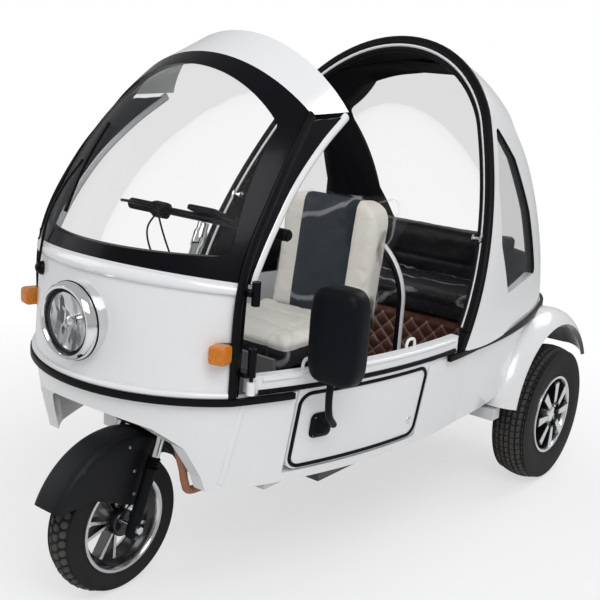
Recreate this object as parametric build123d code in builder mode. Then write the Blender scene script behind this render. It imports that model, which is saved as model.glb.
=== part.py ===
"""Enclosed electric tricycle: one steered front wheel, two driven rear wheels, egg-shaped open-sided body.

Millimetres. +X points forward, +Y to the left, +Z up. The origin lies on the ground under the middle
of the vehicle's overall box.
"""
import os
from math import cos, radians, sin, sqrt

from build123d import *

os.makedirs("parts", exist_ok=True)

# Wheels and axles
front_axle_x = 895.0
wheelbase = 1624.0
rear_axle_x = front_axle_x - wheelbase
front_tyre_r = 203.0
front_tyre_w = 82.0
front_rim_r = 139.0
front_rim_w = 62.0
front_hub_r = 38.0
front_axle_r = 8.0
rear_tyre_r = 250.0
rear_tyre_w = 124.0
rear_rim_r = 144.0
rear_rim_w = 104.0
rear_hub_r = 50.0
rear_axle_r = 16.0
rear_wheel_y = 500.0
rim_wall = 7.0
running_fit = 0.08

# Steering
rake = 21.3
fork_y = 78.0
fork_leg_r = 17.0
fork_drop = 26.0
guard_r = 258.0
guard_wall = 6.0
guard_half_w = 54.0
guard_front_angle = 24.0
guard_rear_angle = 152.0
crown_t = 30.0
crown_half_depth = 34.0
steerer_r = 16.0
head_tube_wall = 10.0
head_tube_len = 140.0
head_gap = 6.0
bar_height = 866.0
bar_r = 11.0
bar_half = 200.0
grip_r = 17.0
grip_end_y = 304.0
overall_half_len = front_axle_x + guard_r * cos(radians(guard_front_angle))

# Body plan at the belt line
belt_z = 640.0
nose_x = 1040.0
nose_r = 462.5
pillar_angle = 53.1
fore_x = 514.0
fore_y = 493.0
waist_x = -80.0
waist_y = 540.0
aft_x = -372.0
aft_y = 523.0
hip_angle = 102.6
tail_r = 448.0
tail_x = -1100.0
nose_centre_x = nose_x - nose_r
tail_centre_x = tail_x + tail_r

# Lower body
skirt_z = 378.0
skirt_inset = 38.0
body_wall = 28.0
floor_t = 12.0
floor_front_x = 600.0
toe_top_x = 640.0
toe_top_z = 690.0
toe_half_w = 330.0
seam_x = 100.0
fit_gap = 0.3
move_gap = 6.0

# Half-doors
door_front_x = 676.0
door_rear_x = 196.0
door_bottom_z = 410.0
door_corner_r = 34.0
rail_front_x = 806.0
rail_rear_x = 46.0
rail_bottom_z = 648.0
rail_top_z = 694.0
rail_wall = 26.0
hinge_x = 822.0
hinge_y = 402.0
hinge_pin_r = 5.0
knuckle_r = 12.0
barrel_r = 11.0
barrel_len = 60.0
upper_barrel_z = 880.0

# Front upper body: centre line and pillar line of each section, from the belt up to the visor
# name: centre_x, centre_z, pillar_x, pillar_y, pillar_z
front_sections = {
    "belt": (nose_x, belt_z, 855.0, 370.0, belt_z),
    "sill": (1013.0, 958.0, 841.0, 375.0, 932.0),
    "mid": (868.0, 1225.0, 722.0, 366.0, 1150.0),
    "head": (610.0, 1464.0, 560.0, 335.0, 1326.0),
    "visor": (476.0, 1526.0, 400.0, 335.0, 1332.0),
}
nose_wall = 22.0
frame_wall = 20.0
brow_wall = 14.0
glass_t = 6.0
glass_depth = 5.0
post_t = 26.0
post_w = 36.0
arm_t = 12.0

# Rear shell: arch-shaped sections along the body
# x, half width at the belt, height of the crown
shell_stations = (
    (60.0, 540.0, 1545.0),
    (-383.0, 524.0, 1545.0),
    (-700.0, 455.0, 1412.0),
    (-930.0, 345.0, 1168.0),
    (-1062.0, 172.0, 895.0),
    (-1094.0, 73.0, 765.0),
)
shoulder_w = 0.72
shoulder_h = 0.745
flank_w = 0.90
flank_h = 0.43
shell_wall = 26.0
hoop_foot_x = 10.0
hoop_rake = 24.9
hoop_seal_t = 20.0

# Seats
bench_front_x = -375.0
bench_rear_x = -700.0
bench_half_w = 372.0
bench_seat_z = 600.0
cushion_t = 92.0
bench_back_t = 80.0
bench_back_top = 880.0
driver_front_x = 430.0
driver_rear_x = 40.0
driver_half_w = 205.0
driver_seat_z = 560.0
driver_cushion_t = 105.0
driver_back_t = 85.0
driver_back_top = 1052.0
driver_back_lean = 8.0
arch_x = -150.0
arch_half_w = 220.0
arch_top_z = 912.0
arch_tube_r = 13.0

# Chassis
rail_y = 300.0
tube_w = 50.0
tube_h = 60.0
chassis_top = skirt_z
guard_clearance = 12.65
chassis_front_x = front_axle_x - sqrt(
    (guard_r + guard_clearance) ** 2 - (chassis_top - tube_h - front_tyre_r) ** 2)
chassis_rear_x = -1000.0
outrigger_x = -400.0
spring_half_len = 230.0
spring_t = 22.0
spring_w = 50.0
axle_tube_r = 34.0

outrigger_y = 490.0
outrigger_h = 40.0
outrigger_drop = 42.0
cross_member_x = (-975.0, -420.0, 0.0, 330.0, chassis_front_x - tube_w / 2)
down_tube_y = 110.0
down_tube_r = 16.0
down_tube_joint = 112.0
drum_y = 420.0
drum_w = 34.0
drum_r = 84.0
stub_y = 530.0
gear_r = 88.0
gear_half_w = 70.0
motor_r = 76.0
motor_len = 230.0
battery_half_len = 290.0
battery_half_w = 250.0
battery_h = 115.0

# Wheel wells, fenders and the front wheel arch
well_gap = 9.0
well_r = 268.0
fender_rise = 35.0
fender_y = 548.0
fender_wall = 10.0
fender_r = 350.0
fender_bend_y = 455.0
fender_bulge_r = 342.0
fender_bulge_y = 510.0
fender_lip_r = 302.0
fender_front_angle = 10.0
fender_rear_angle = 152.0
wheel_arch = ((862.0, 360.0), (882.0, 420.0), (920.0, 500.0), (972.0, 548.0), (1060.0, 588.0),
              (1060.0, 360.0))
trim_bottom_z = 618.0
trim_h = 24.0
trim_t = 12.0
trim_gap = 22.0

# Windows
pane_foot_w = 343.0
pane_foot_z = 992.0
pane_head_w = 302.0
pane_head_z = 1298.0
pane_top_z = 1430.0
pane_corner_r = 30.0
quarter_outline = ((-285.0, 768.0), (-632.0, 782.0), (-588.0, 1000.0), (-490.0, 1180.0), (-345.0, 1295.0),
                   (-258.0, 1100.0), (-232.0, 930.0))
quarter_corner_r = 22.0
quarter_inner_y = 200.0
rear_outline = ((-310.0, 770.0), (310.0, 770.0), (350.0, 960.0), (350.0, 1275.0), (195.0, 1448.0),
                (-195.0, 1448.0), (-350.0, 1275.0), (-350.0, 960.0))
rear_corner_r = 70.0
rear_window_x = -440.0
arm_z = 700.0

# Seat details
bench_lip = 18.0
bench_back_half_w = 330.0
cushion_round = 20.0

# Lamps, bracket and mirror
lamp_z = 794.0
lamp_r = 100.0
lamp_depth = 36.0
bezel_w = 12.0
lens_round = 18.0
signal_x = 866.0
signal_y = 354.0
signal_angle = 14.0
signal_drop = 32.0
signal_base_d = 26.0
signal_d = 54.0
signal_h = 46.0
signal_w = 46.0
signal_round = 10.0
tail_lamp_angle = 148.0
tail_lamp_proud = 14.0
tail_lamp_z = 560.0
tail_lamp_r = 42.0
plate_t = 5.0
plate_half_w = 110.0
plate_z = 470.0
plate_h = 100.0
plate_arm_y = 60.0
plate_arm_w = 24.0
plate_hole_x = 180.0
plate_hole_z = 70.0
plate_hole_r = 3.5
mirror_x = 672.0
mirror_y = 543.0
mirror_z = 808.0
mirror_w = 150.0
mirror_h = 250.0
mirror_t = 66.0
mirror_round = 24.0
stalk_x = 592.0
stalk_y = 496.0
stalk_z = 552.0
stalk_r = 9.0
mirror_foot = 44.0

# Small wheel and control details
guard_skirt = 30.0
guard_flap_r = 166.0
guard_flap_top = (40.0, 130.0)
guard_flap_foot = (62.0, 122.0)
display_w = 110.0
display_d = 64.0
display_t = 16.0
display_round = 8.0
tread_share = 0.78
tread_drop = 12.0
rim_lip_w = 6.0
spoke_w = 24.0
spoke_t = 30.0
front_spokes = 5
rear_spokes = 8
front_hub_half = 46.0
rear_hub_half = 56.0

steer_axis = Vector(-sin(radians(rake)), 0, cos(radians(rake)))
steer_plane = Plane(
    origin=(front_axle_x, 0, front_tyre_r),
    x_dir=(cos(radians(rake)), 0, sin(radians(rake))),
    z_dir=steer_axis,
)
crown_h = guard_r + fit_gap
head_h = crown_h + crown_t + head_gap


def block(x0, x1, y0, y1, z0, z1, mode=Mode.ADD):
    """Box between two corners."""
    with Locations(((x0 + x1) / 2, (y0 + y1) / 2, (z0 + z1) / 2)):
        Box(abs(x1 - x0), abs(y1 - y0), abs(z1 - z0), mode=mode)


def rod(start, end, radius, mode=Mode.ADD):
    """Round bar from one point to another."""
    span = Vector(*end) - Vector(*start)
    with BuildSketch(Plane(origin=start, z_dir=span)) as section:
        Circle(radius)
    extrude(section.sketch, amount=span.length, mode=mode)


def side_prism(points, y0, y1, mode=Mode.ADD):
    """Prism across the vehicle from an outline of (x, z) points, between two widths."""
    with BuildSketch(Plane.XZ.offset(-y1)) as section:
        Polygon(*points, align=None)
    extrude(section.sketch, amount=y1 - y0, mode=mode)


def plan_line(inset):
    """Closed egg-shaped plan of the body, drawn in all round by inset."""
    bow = radians(pillar_angle)
    hip = radians(hip_angle)
    bow_x = nose_centre_x + (nose_r - inset) * cos(bow)
    bow_y = (nose_r - inset) * sin(bow)
    hip_x = tail_centre_x + (tail_r - inset) * cos(hip)
    hip_y = (tail_r - inset) * sin(hip)
    ThreePointArc((bow_x, -bow_y), (nose_x - inset, 0), (bow_x, bow_y))
    ThreePointArc((hip_x, -hip_y), (tail_x + inset, 0), (hip_x, hip_y))
    for side in (1, -1):
        waist = (waist_x, side * (waist_y - inset))
        ThreePointArc((bow_x, side * bow_y), (fore_x, side * (fore_y - inset)), waist)
        ThreePointArc(waist, (aft_x, side * (aft_y - inset)), (hip_x, side * hip_y))


def tub(inset):
    """Lower body as a full solid, narrowing from the belt down to the skirt."""
    with BuildPart() as solid:
        for z, draw in ((skirt_z, inset + skirt_inset), (belt_z, inset)):
            with BuildSketch(Plane.XY.offset(z)):
                with BuildLine():
                    plan_line(draw)
                make_face()
        loft(ruled=True)
    return solid.part


def dome(inset):
    """Rear shell as a full solid, its arches drawn in by inset."""
    with BuildPart() as solid:
        for x, half_w, crown in shell_stations:
            w = half_w - inset
            h = crown - belt_z - inset
            station_x = x + inset * (x < tail_centre_x)
            with BuildSketch(Plane(origin=(station_x, 0, belt_z), x_dir=(0, 1, 0), z_dir=(1, 0, 0))):
                with BuildLine():
                    ThreePointArc((w, 0), (flank_w * w, flank_h * h), (shoulder_w * w, shoulder_h * h))
                    ThreePointArc((shoulder_w * w, shoulder_h * h), (0, h), (-shoulder_w * w, shoulder_h * h))
                    ThreePointArc((-shoulder_w * w, shoulder_h * h), (-flank_w * w, flank_h * h), (-w, 0))
                    Line((-w, 0), (w, 0))
                make_face()
        loft()
    return solid.part


def screen(names, outer, inner):
    """Curved sheet through the named front sections, between two depths below the outside."""
    with BuildPart() as solid:
        for name in names:
            centre_x, centre_z, pillar_x, pillar_y, pillar_z = front_sections[name]
            run = Vector(centre_x - pillar_x, 0, centre_z - pillar_z)
            plane = Plane(origin=(pillar_x, 0, pillar_z), x_dir=run, z_dir=run.cross(Vector(0, 1, 0)))
            with BuildSketch(plane):
                with BuildLine():
                    ThreePointArc((0, outer - pillar_y), (run.length - outer, 0), (0, pillar_y - outer))
                    Line((0, pillar_y - outer), (0, pillar_y - inner))
                    ThreePointArc((0, pillar_y - inner), (run.length - inner, 0), (0, inner - pillar_y))
                    Line((0, inner - pillar_y), (0, outer - pillar_y))
                make_face()
        loft()
    return solid.part


# Scratch solids that several panels are cut from
tub_solid = tub(0)
with BuildPart() as tub_wall:
    add(tub_solid)
    add(tub(body_wall), mode=Mode.SUBTRACT)
with BuildPart() as rail_ring:
    with BuildSketch(Plane.XY.offset(belt_z)):
        with BuildLine():
            plan_line(0)
        make_face()
        with BuildLine():
            plan_line(rail_wall)
        make_face(mode=Mode.SUBTRACT)
    extrude(amount=rail_top_z - belt_z)
dome_solid = dome(0)
with BuildPart() as dome_wall:
    add(dome_solid)
    add(dome(shell_wall), mode=Mode.SUBTRACT)
hoop_plane = Plane(
    origin=(hoop_foot_x, 0, belt_z),
    z_dir=(cos(radians(hoop_rake)), 0, sin(radians(hoop_rake))),
)


def finish(part, name):
    """Name a finished piece and write it."""
    part.label = name
    export_step(part, f"parts/{name}.step")


# Chassis: two box rails, cross members and the outriggers that carry the body sides
rail_bottom = chassis_top - tube_h
with BuildPart() as chassis_frame:
    for side in (1, -1):
        y = side * rail_y
        block(chassis_rear_x, chassis_front_x, y - tube_w / 2, y + tube_w / 2, rail_bottom, chassis_top)
        block(outrigger_x - tube_w / 2, outrigger_x + tube_w / 2, y, side * outrigger_y,
              chassis_top - outrigger_drop - outrigger_h, chassis_top - outrigger_drop)
    for x in cross_member_x:
        block(x - tube_w / 2, x + tube_w / 2, -rail_y, rail_y, rail_bottom, chassis_top)
finish(chassis_frame.part, "chassis_frame")

# Front frame: head tube on the steering axis and two raked down tubes
head_tube_r = steerer_r + head_tube_wall
down_top = steer_plane.origin + steer_axis * (head_h + down_tube_joint)
with BuildPart() as front_frame:
    for side in (1, -1):
        foot = (chassis_front_x, side * down_tube_y, chassis_top - tube_h / 2)
        rod(foot, (down_top.X, 0, down_top.Z), down_tube_r)
    with BuildSketch(steer_plane.offset(head_h)):
        Circle(head_tube_r)
    extrude(amount=head_tube_len)
    with BuildSketch(steer_plane.offset(head_h)):
        Circle(steerer_r + running_fit)
    extrude(amount=head_tube_len, mode=Mode.SUBTRACT)
    add(chassis_frame.part, mode=Mode.SUBTRACT)
finish(front_frame.part, "front_frame")

# Rear axle: tube, gear housing, brake drums and the stubs that the hubs turn on
axle_z = rear_tyre_r
with BuildPart() as rear_axle:
    rod((rear_axle_x, -drum_y, axle_z), (rear_axle_x, drum_y, axle_z), axle_tube_r)
    rod((rear_axle_x, -gear_half_w, axle_z), (rear_axle_x, gear_half_w, axle_z), gear_r)
    for side in (1, -1):
        rod((rear_axle_x, side * (drum_y - drum_w), axle_z), (rear_axle_x, side * drum_y, axle_z), drum_r)
        rod((rear_axle_x, side * drum_y, axle_z), (rear_axle_x, side * stub_y, axle_z), rear_axle_r)
finish(rear_axle.part, "rear_axle")

motor_x = rear_axle_x + gear_r + motor_r + fit_gap
with BuildPart() as drive_motor:
    rod((motor_x, -gear_half_w, axle_z), (motor_x, motor_len - gear_half_w, axle_z), motor_r)
finish(drive_motor.part, "drive_motor")

# Leaf springs: bowed packs between the axle tube and the rails, with flat ends
spring_low = axle_z + axle_tube_r
spring_end = rail_bottom - spring_t
with BuildPart() as leaf_springs:
    for side in (1, -1):
        with BuildSketch(Plane.XZ.offset(-side * rail_y - spring_w / 2)):
            with BuildLine():
                for rise in (0, spring_t):
                    ThreePointArc(
                        (rear_axle_x - spring_half_len, spring_end + rise),
                        (rear_axle_x, spring_low + rise),
                        (rear_axle_x + spring_half_len, spring_end + rise),
                    )
                for end in (1, -1):
                    x = rear_axle_x + end * spring_half_len
                    Line((x, spring_end), (x, rail_bottom))
            make_face()
        extrude(amount=spring_w)
        for end in (1, -1):
            x = rear_axle_x + end * spring_half_len
            block(x, x + end * tube_w, side * rail_y - spring_w / 2, side * rail_y + spring_w / 2,
                  spring_end, rail_bottom)
finish(leaf_springs.part, "leaf_springs")

with BuildPart() as battery_box:
    block(-battery_half_len, battery_half_len, -battery_half_w, battery_half_w,
          rail_bottom - battery_h, rail_bottom)
finish(battery_box.part, "battery_box")

# Wheel wells in the rear tub
well_inner_y = rear_wheel_y - rear_tyre_w / 2 - well_gap
with BuildPart() as well_walls:
    for side in (1, -1):
        rod((rear_axle_x, side * (well_inner_y - body_wall), axle_z),
            (rear_axle_x, side * well_inner_y, axle_z), well_r + body_wall / 2)
    add(tub_solid, mode=Mode.INTERSECT)

# Floor: flat plate inside the skirt with a raised toe board in front
floor_top = chassis_top + floor_t
with BuildPart() as floor_pan:
    with BuildSketch(Plane.XY.offset(chassis_top)):
        with BuildLine():
            plan_line(skirt_inset + body_wall + fit_gap)
        make_face()
    extrude(amount=floor_t)
    block(floor_front_x, nose_x, -waist_y, waist_y, 0, belt_z, mode=Mode.SUBTRACT)
    for side in (1, -1):
        rod((rear_axle_x, side * (well_inner_y - body_wall - fit_gap), axle_z),
            (rear_axle_x, side * waist_y, axle_z), well_r + body_wall / 2 + fit_gap, mode=Mode.SUBTRACT)
    side_prism(
        ((floor_front_x - floor_t, chassis_top), (floor_front_x + floor_t / 2, chassis_top),
         (toe_top_x + floor_t, toe_top_z), (toe_top_x, toe_top_z), (floor_front_x - floor_t, floor_top)),
        -toe_half_w, toe_half_w,
    )
finish(floor_pan.part, "floor_pan")

# Lower body: nose lip, front skirts and sills, open over the front wheel
with BuildPart() as lower_body:
    add(tub_wall.part)
    block(seam_x, nose_x, -waist_y, waist_y, 0, belt_z, mode=Mode.INTERSECT)
    block(door_rear_x - move_gap, door_front_x + move_gap, -waist_y, waist_y,
          door_bottom_z - move_gap, belt_z, mode=Mode.SUBTRACT)
    side_prism(wheel_arch, -waist_y, waist_y, mode=Mode.SUBTRACT)
finish(lower_body.part, "lower_body")

with BuildPart() as rear_tub:
    add(tub_wall.part)
    block(tail_x, seam_x, -waist_y, waist_y, 0, belt_z, mode=Mode.INTERSECT)
    add(well_walls.part)
    for side in (1, -1):
        rod((rear_axle_x, side * well_inner_y, axle_z), (rear_axle_x, side * fender_y, axle_z), well_r,
            mode=Mode.SUBTRACT)
finish(rear_tub.part, "rear_tub")

# Nose panel between belt and windscreen
with BuildPart() as nose_panel:
    add(screen(("belt", "sill"), 0, nose_wall))
finish(nose_panel.part, "nose_panel")

# Belt trim: rubber strip along the joint between upper and lower body, broken at the doors
with BuildPart() as belt_trim:
    with BuildSketch(Plane.XY.offset(trim_bottom_z)):
        with BuildLine():
            plan_line(-trim_t)
        make_face()
        with BuildLine():
            plan_line(0)
        make_face(mode=Mode.SUBTRACT)
    extrude(amount=trim_h)
    block(seam_x, door_front_x + trim_gap, -overall_half_len, overall_half_len, 0, rail_top_z,
          mode=Mode.SUBTRACT)
    add(dome_solid, mode=Mode.SUBTRACT)
    add(nose_panel.part, mode=Mode.SUBTRACT)
finish(belt_trim.part, "belt_trim")

# Fenders: swept guards over the rear wheels, trimmed to the body side
with BuildPart() as fender_pair:
    for side in (1, -1):
        start = radians(fender_front_angle)
        plane = Plane(origin=(rear_axle_x, 0, axle_z + fender_rise), x_dir=(cos(start), 0, sin(start)),
                      z_dir=(-sin(start), 0, cos(start)))
        with BuildSketch(plane):
            with BuildLine():
                for depth in (0, fender_wall):
                    top = (fender_r - depth, side * (fender_bend_y - depth))
                    lip = (fender_lip_r - depth, side * (fender_y - depth))
                    bulge = (fender_bulge_r - depth, side * (fender_bulge_y - depth))
                    Line((fender_r - depth, side * rail_y), top)
                    ThreePointArc(top, bulge, lip)
                Line((fender_lip_r, side * fender_y),
                     (fender_lip_r - fender_wall, side * (fender_y - fender_wall)))
                Line((fender_r, side * rail_y), (fender_r - fender_wall, side * rail_y))
            make_face()
        revolve(axis=Axis((rear_axle_x, 0, axle_z + fender_rise), (0, -1, 0)),
                revolution_arc=fender_rear_angle - fender_front_angle)
    add(tub_solid, mode=Mode.SUBTRACT)
    add(belt_trim.part, mode=Mode.SUBTRACT)
    block(tail_x, seam_x, -rail_y - tube_w, rail_y + tube_w, 0, belt_z, mode=Mode.SUBTRACT)
for side, name in ((1, "fender_left"), (-1, "fender_right")):
    with BuildPart() as fender:
        add(fender_pair.part)
        block(tail_x, seam_x, 0, side * overall_half_len, 0, belt_z, mode=Mode.INTERSECT)
    finish(fender.part, name)

# Windscreen: rubber frame cut through for the pane
def screen_prism(gap):
    """Prism along the vehicle through the windscreen opening, drawn in by gap."""
    with BuildPart() as prism:
        with BuildSketch(Plane.YZ) as outline:
            with BuildLine():
                Line((-pane_foot_w, pane_foot_z), (pane_foot_w, pane_foot_z))
                ThreePointArc((-pane_head_w, pane_head_z), (0, pane_top_z), (pane_head_w, pane_head_z))
                for side in (1, -1):
                    Line((side * pane_foot_w, pane_foot_z), (side * pane_head_w, pane_head_z))
            make_face()
            fillet(outline.vertices(), pane_corner_r)
            if gap:
                offset(amount=-gap, mode=Mode.REPLACE)
        extrude(amount=overall_half_len)
    return prism.part


with BuildPart() as windscreen_frame:
    add(screen(("sill", "mid", "head"), 0, frame_wall))
    add(screen_prism(0), mode=Mode.SUBTRACT)
finish(windscreen_frame.part, "windscreen_frame")
with BuildPart() as windscreen_glass:
    add(screen(("sill", "mid", "head"), glass_depth, glass_depth + glass_t))
    add(screen_prism(fit_gap), mode=Mode.INTERSECT)
finish(windscreen_glass.part, "windscreen_glass")

with BuildPart() as brow:
    add(screen(("head", "visor"), 0, brow_wall))
finish(brow.part, "brow")

# Door posts: black posts behind the nose panel, with hinge barrels and the half-door pins
belt_row = front_sections["belt"]
sill_row = front_sections["sill"]
with BuildPart() as door_posts:
    for side in (1, -1):
        y0, y1 = sorted((side * (belt_row[3] - post_w), side * belt_row[3]))
        side_prism(
            ((belt_row[2] - post_t, belt_z), (belt_row[2] - fit_gap, belt_z),
             (sill_row[2] - fit_gap, sill_row[4]), (sill_row[2] - post_t, sill_row[4])),
            y0, y1,
        )
        for z in (arm_z, upper_barrel_z + barrel_len / 2 - arm_t / 2):
            block(hinge_x - arm_t / 2, belt_row[2] - post_t / 2, side * (belt_row[3] - post_w / 2),
                  side * hinge_y, z, z + arm_t)
        pin_y = side * hinge_y
        rod((hinge_x, pin_y, rail_bottom_z), (hinge_x, pin_y, arm_z + arm_t / 2), hinge_pin_r)
        for foot_z, bore_z in ((arm_z, arm_z + arm_t), (upper_barrel_z, upper_barrel_z)):
            rod((hinge_x, pin_y, foot_z), (hinge_x, pin_y, bore_z + barrel_len), barrel_r)
            rod((hinge_x, pin_y, bore_z), (hinge_x, pin_y, bore_z + barrel_len), hinge_pin_r,
                mode=Mode.SUBTRACT)
    add(nose_panel.part, mode=Mode.SUBTRACT)
finish(door_posts.part, "door_posts")

# Rear shell with its side and rear windows cut, and the seal on its raked front hoop
with BuildPart() as quarter_prism:
    with BuildSketch(Plane.XZ.offset(-waist_y)):
        Polygon(*quarter_outline, align=None)
        fillet(vertices(), quarter_corner_r)
    extrude(amount=2 * waist_y)
    block(tail_x, seam_x, -quarter_inner_y, quarter_inner_y, belt_z, overall_half_len * 2, mode=Mode.SUBTRACT)
with BuildPart() as rear_prism:
    with BuildSketch(Plane.YZ.offset(rear_window_x)):
        Polygon(*rear_outline, align=None)
        fillet(vertices(), rear_corner_r)
    extrude(amount=tail_x - rear_window_x)
with BuildPart() as rear_shell:
    add(dome_wall.part)
    split(bisect_by=hoop_plane, keep=Keep.BOTTOM)
    add(quarter_prism.part, mode=Mode.SUBTRACT)
    add(rear_prism.part, mode=Mode.SUBTRACT)
finish(rear_shell.part, "rear_shell")
with BuildPart() as hoop_seal:
    add(dome_wall.part)
    split(bisect_by=hoop_plane, keep=Keep.TOP)
    split(bisect_by=hoop_plane.offset(hoop_seal_t), keep=Keep.BOTTOM)
finish(hoop_seal.part, "hoop_seal")
with BuildPart() as pane_layer:
    add(dome(glass_depth))
    add(dome(glass_depth + glass_t), mode=Mode.SUBTRACT)
for name, prism in (("quarter_glass", quarter_prism), ("rear_glass", rear_prism)):
    with BuildPart() as pane:
        add(pane_layer.part)
        add(prism.part, mode=Mode.INTERSECT)
    finish(pane.part, name)

# Seats
with BuildPart() as bench_base:
    block(bench_rear_x, bench_front_x - bench_lip, -bench_half_w, bench_half_w, floor_top, bench_seat_z)
finish(bench_base.part, "bench_base")
with BuildPart() as bench_cushion:
    block(bench_rear_x, bench_front_x, -bench_half_w, bench_half_w,
          bench_seat_z + fit_gap, bench_seat_z + cushion_t)
    fillet(edges().filter_by(GeomType.LINE), cushion_round)
finish(bench_cushion.part, "bench_cushion")
with BuildPart() as bench_back:
    block(bench_rear_x - bench_back_t, bench_rear_x - fit_gap, -bench_back_half_w, bench_back_half_w,
          bench_seat_z, bench_back_top)
    fillet(edges().filter_by(GeomType.LINE), cushion_round)
finish(bench_back.part, "bench_back")
with BuildPart() as driver_seat_base:
    block(driver_rear_x, driver_front_x - bench_lip, -driver_half_w + bench_lip, driver_half_w - bench_lip,
          floor_top, driver_seat_z)
finish(driver_seat_base.part, "driver_seat_base")
with BuildPart() as driver_cushion:
    block(driver_rear_x, driver_front_x, -driver_half_w, driver_half_w,
          driver_seat_z + fit_gap, driver_seat_z + driver_cushion_t)
    fillet(edges().filter_by(GeomType.LINE), cushion_round)
finish(driver_cushion.part, "driver_cushion")
lean = radians(driver_back_lean)
back_plane = Plane(
    origin=(driver_rear_x - fit_gap, 0, driver_seat_z + driver_cushion_t / 2),
    x_dir=(0, 1, 0),
    z_dir=(-sin(lean), 0, cos(lean)),
)
back_len = (driver_back_top - back_plane.origin.Z) / cos(lean)
with BuildPart() as driver_back:
    with BuildSketch(back_plane):
        with Locations((0, driver_back_t / 2)):
            RectangleRounded(2 * driver_half_w, driver_back_t, cushion_round)
    extrude(amount=back_len)
    fillet(faces().sort_by(Axis.Z)[-1].edges(), cushion_round)
finish(driver_back.part, "driver_back")

# Guard arch behind the driver's seat: two legs and a half ring
arch_spring_z = arch_top_z - arch_half_w
with BuildPart() as guard_arch:
    for side in (1, -1):
        rod((arch_x, side * arch_half_w, floor_top), (arch_x, side * arch_half_w, arch_spring_z), arch_tube_r)
    with BuildSketch(Plane(origin=(arch_x, arch_half_w, arch_spring_z), z_dir=(0, 0, 1))):
        Circle(arch_tube_r)
    revolve(axis=Axis((arch_x, 0, arch_spring_z), (1, 0, 0)), revolution_arc=180)
finish(guard_arch.part, "guard_arch")

# Lamps
with BuildPart() as headlamp_bezel:
    rod((nose_x - nose_wall, 0, lamp_z), (nose_x + lamp_depth, 0, lamp_z), lamp_r)
    rod((nose_x, 0, lamp_z), (nose_x + lamp_depth, 0, lamp_z), lamp_r - bezel_w, mode=Mode.SUBTRACT)
    add(nose_panel.part, mode=Mode.SUBTRACT)
    split(bisect_by=Plane.YZ.offset(sill_row[0]), keep=Keep.TOP)
finish(headlamp_bezel.part, "headlamp_bezel")
with BuildPart() as headlamp_lens:
    rod((nose_x + fit_gap, 0, lamp_z), (nose_x + lamp_depth, 0, lamp_z), lamp_r - bezel_w - fit_gap)
    fillet(faces().sort_by(Axis.X)[-1].edges(), lens_round)
finish(headlamp_lens.part, "headlamp_lens")
signal_dir = radians(signal_angle)
for name, near, far in (("signal_bases", -signal_base_d / 2, signal_base_d / 2),
                        ("signal_lenses", signal_base_d / 2 + fit_gap, signal_d)):
    with BuildPart() as signal:
        for side in (1, -1):
            out = Vector(cos(signal_dir), side * sin(signal_dir), 0)
            root = Vector(signal_x, side * signal_y, lamp_z - signal_drop) + out * near
            with BuildSketch(Plane(origin=root, x_dir=(0, 0, 1), z_dir=out)) as section:
                RectangleRounded(signal_h, signal_w, signal_round)
            extrude(section.sketch, amount=far - near)
        add(screen(("belt", "sill"), -fit_gap, 2 * post_w), mode=Mode.SUBTRACT)
        add(door_posts.part, mode=Mode.SUBTRACT)
    finish(signal.part, name)
with BuildPart() as tail_lamps:
    for side in (1, -1):
        out = Vector(cos(radians(tail_lamp_angle)), side * sin(radians(tail_lamp_angle)), 0)
        hub = Vector(tail_centre_x, 0, tail_lamp_z)
        rod(tuple(hub + out * (tail_r - lamp_r)), tuple(hub + out * (tail_r + tail_lamp_proud)), tail_lamp_r)
    add(tub_solid, mode=Mode.SUBTRACT)
finish(tail_lamps.part, "tail_lamps")

# Number plate bracket at the tail
with BuildPart() as plate_bracket:
    block(-overall_half_len, plate_t - overall_half_len, -plate_half_w, plate_half_w,
          plate_z, plate_z + plate_h)
    for side in (1, -1):
        block(-overall_half_len, tail_x + skirt_inset, side * plate_arm_y - plate_arm_w / 2,
              side * plate_arm_y + plate_arm_w / 2, plate_z + plate_h / 4, plate_z + plate_h * 3 / 4)
    add(tub_solid, mode=Mode.SUBTRACT)
    with Locations(Plane.YZ.offset(-overall_half_len)):
        with Locations((0, plate_z + plate_h / 2)):
            with GridLocations(plate_hole_x, plate_hole_z, 2, 2):
                Hole(plate_hole_r)
finish(plate_bracket.part, "plate_bracket")

# Half-doors: lower panel and rail, hinged at the front; the left one carries the mirror
for side, name in ((1, "door_left"), (-1, "door_right")):
    with BuildPart() as door:
        add(tub_wall.part)
        add(rail_ring.part)
        with BuildSketch(Plane.XZ.offset(-overall_half_len if side > 0 else 0)) as panel:
            with Locations(((door_front_x + door_rear_x) / 2, (door_bottom_z + rail_top_z) / 2)):
                Rectangle(door_front_x - door_rear_x, rail_top_z - door_bottom_z)
            fillet(panel.vertices().group_by(Axis.Z)[0], door_corner_r)
            with Locations(((rail_front_x + rail_rear_x) / 2, (rail_bottom_z + rail_top_z) / 2)):
                Rectangle(rail_front_x - rail_rear_x, rail_top_z - rail_bottom_z)
        extrude(amount=overall_half_len, mode=Mode.INTERSECT)
        pin_y = side * hinge_y
        knuckle_z = (rail_bottom_z + move_gap, rail_top_z - move_gap)
        block(rail_front_x - knuckle_r, hinge_x, side * (hinge_y - knuckle_r - move_gap), pin_y, *knuckle_z)
        rod((hinge_x, pin_y, knuckle_z[0]), (hinge_x, pin_y, knuckle_z[1]), knuckle_r)
        rod((hinge_x, pin_y, rail_bottom_z), (hinge_x, pin_y, rail_top_z), hinge_pin_r + running_fit,
            mode=Mode.SUBTRACT)
    finish(door.part, name)
    if side > 0:
        door_skin = door.part
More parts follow.
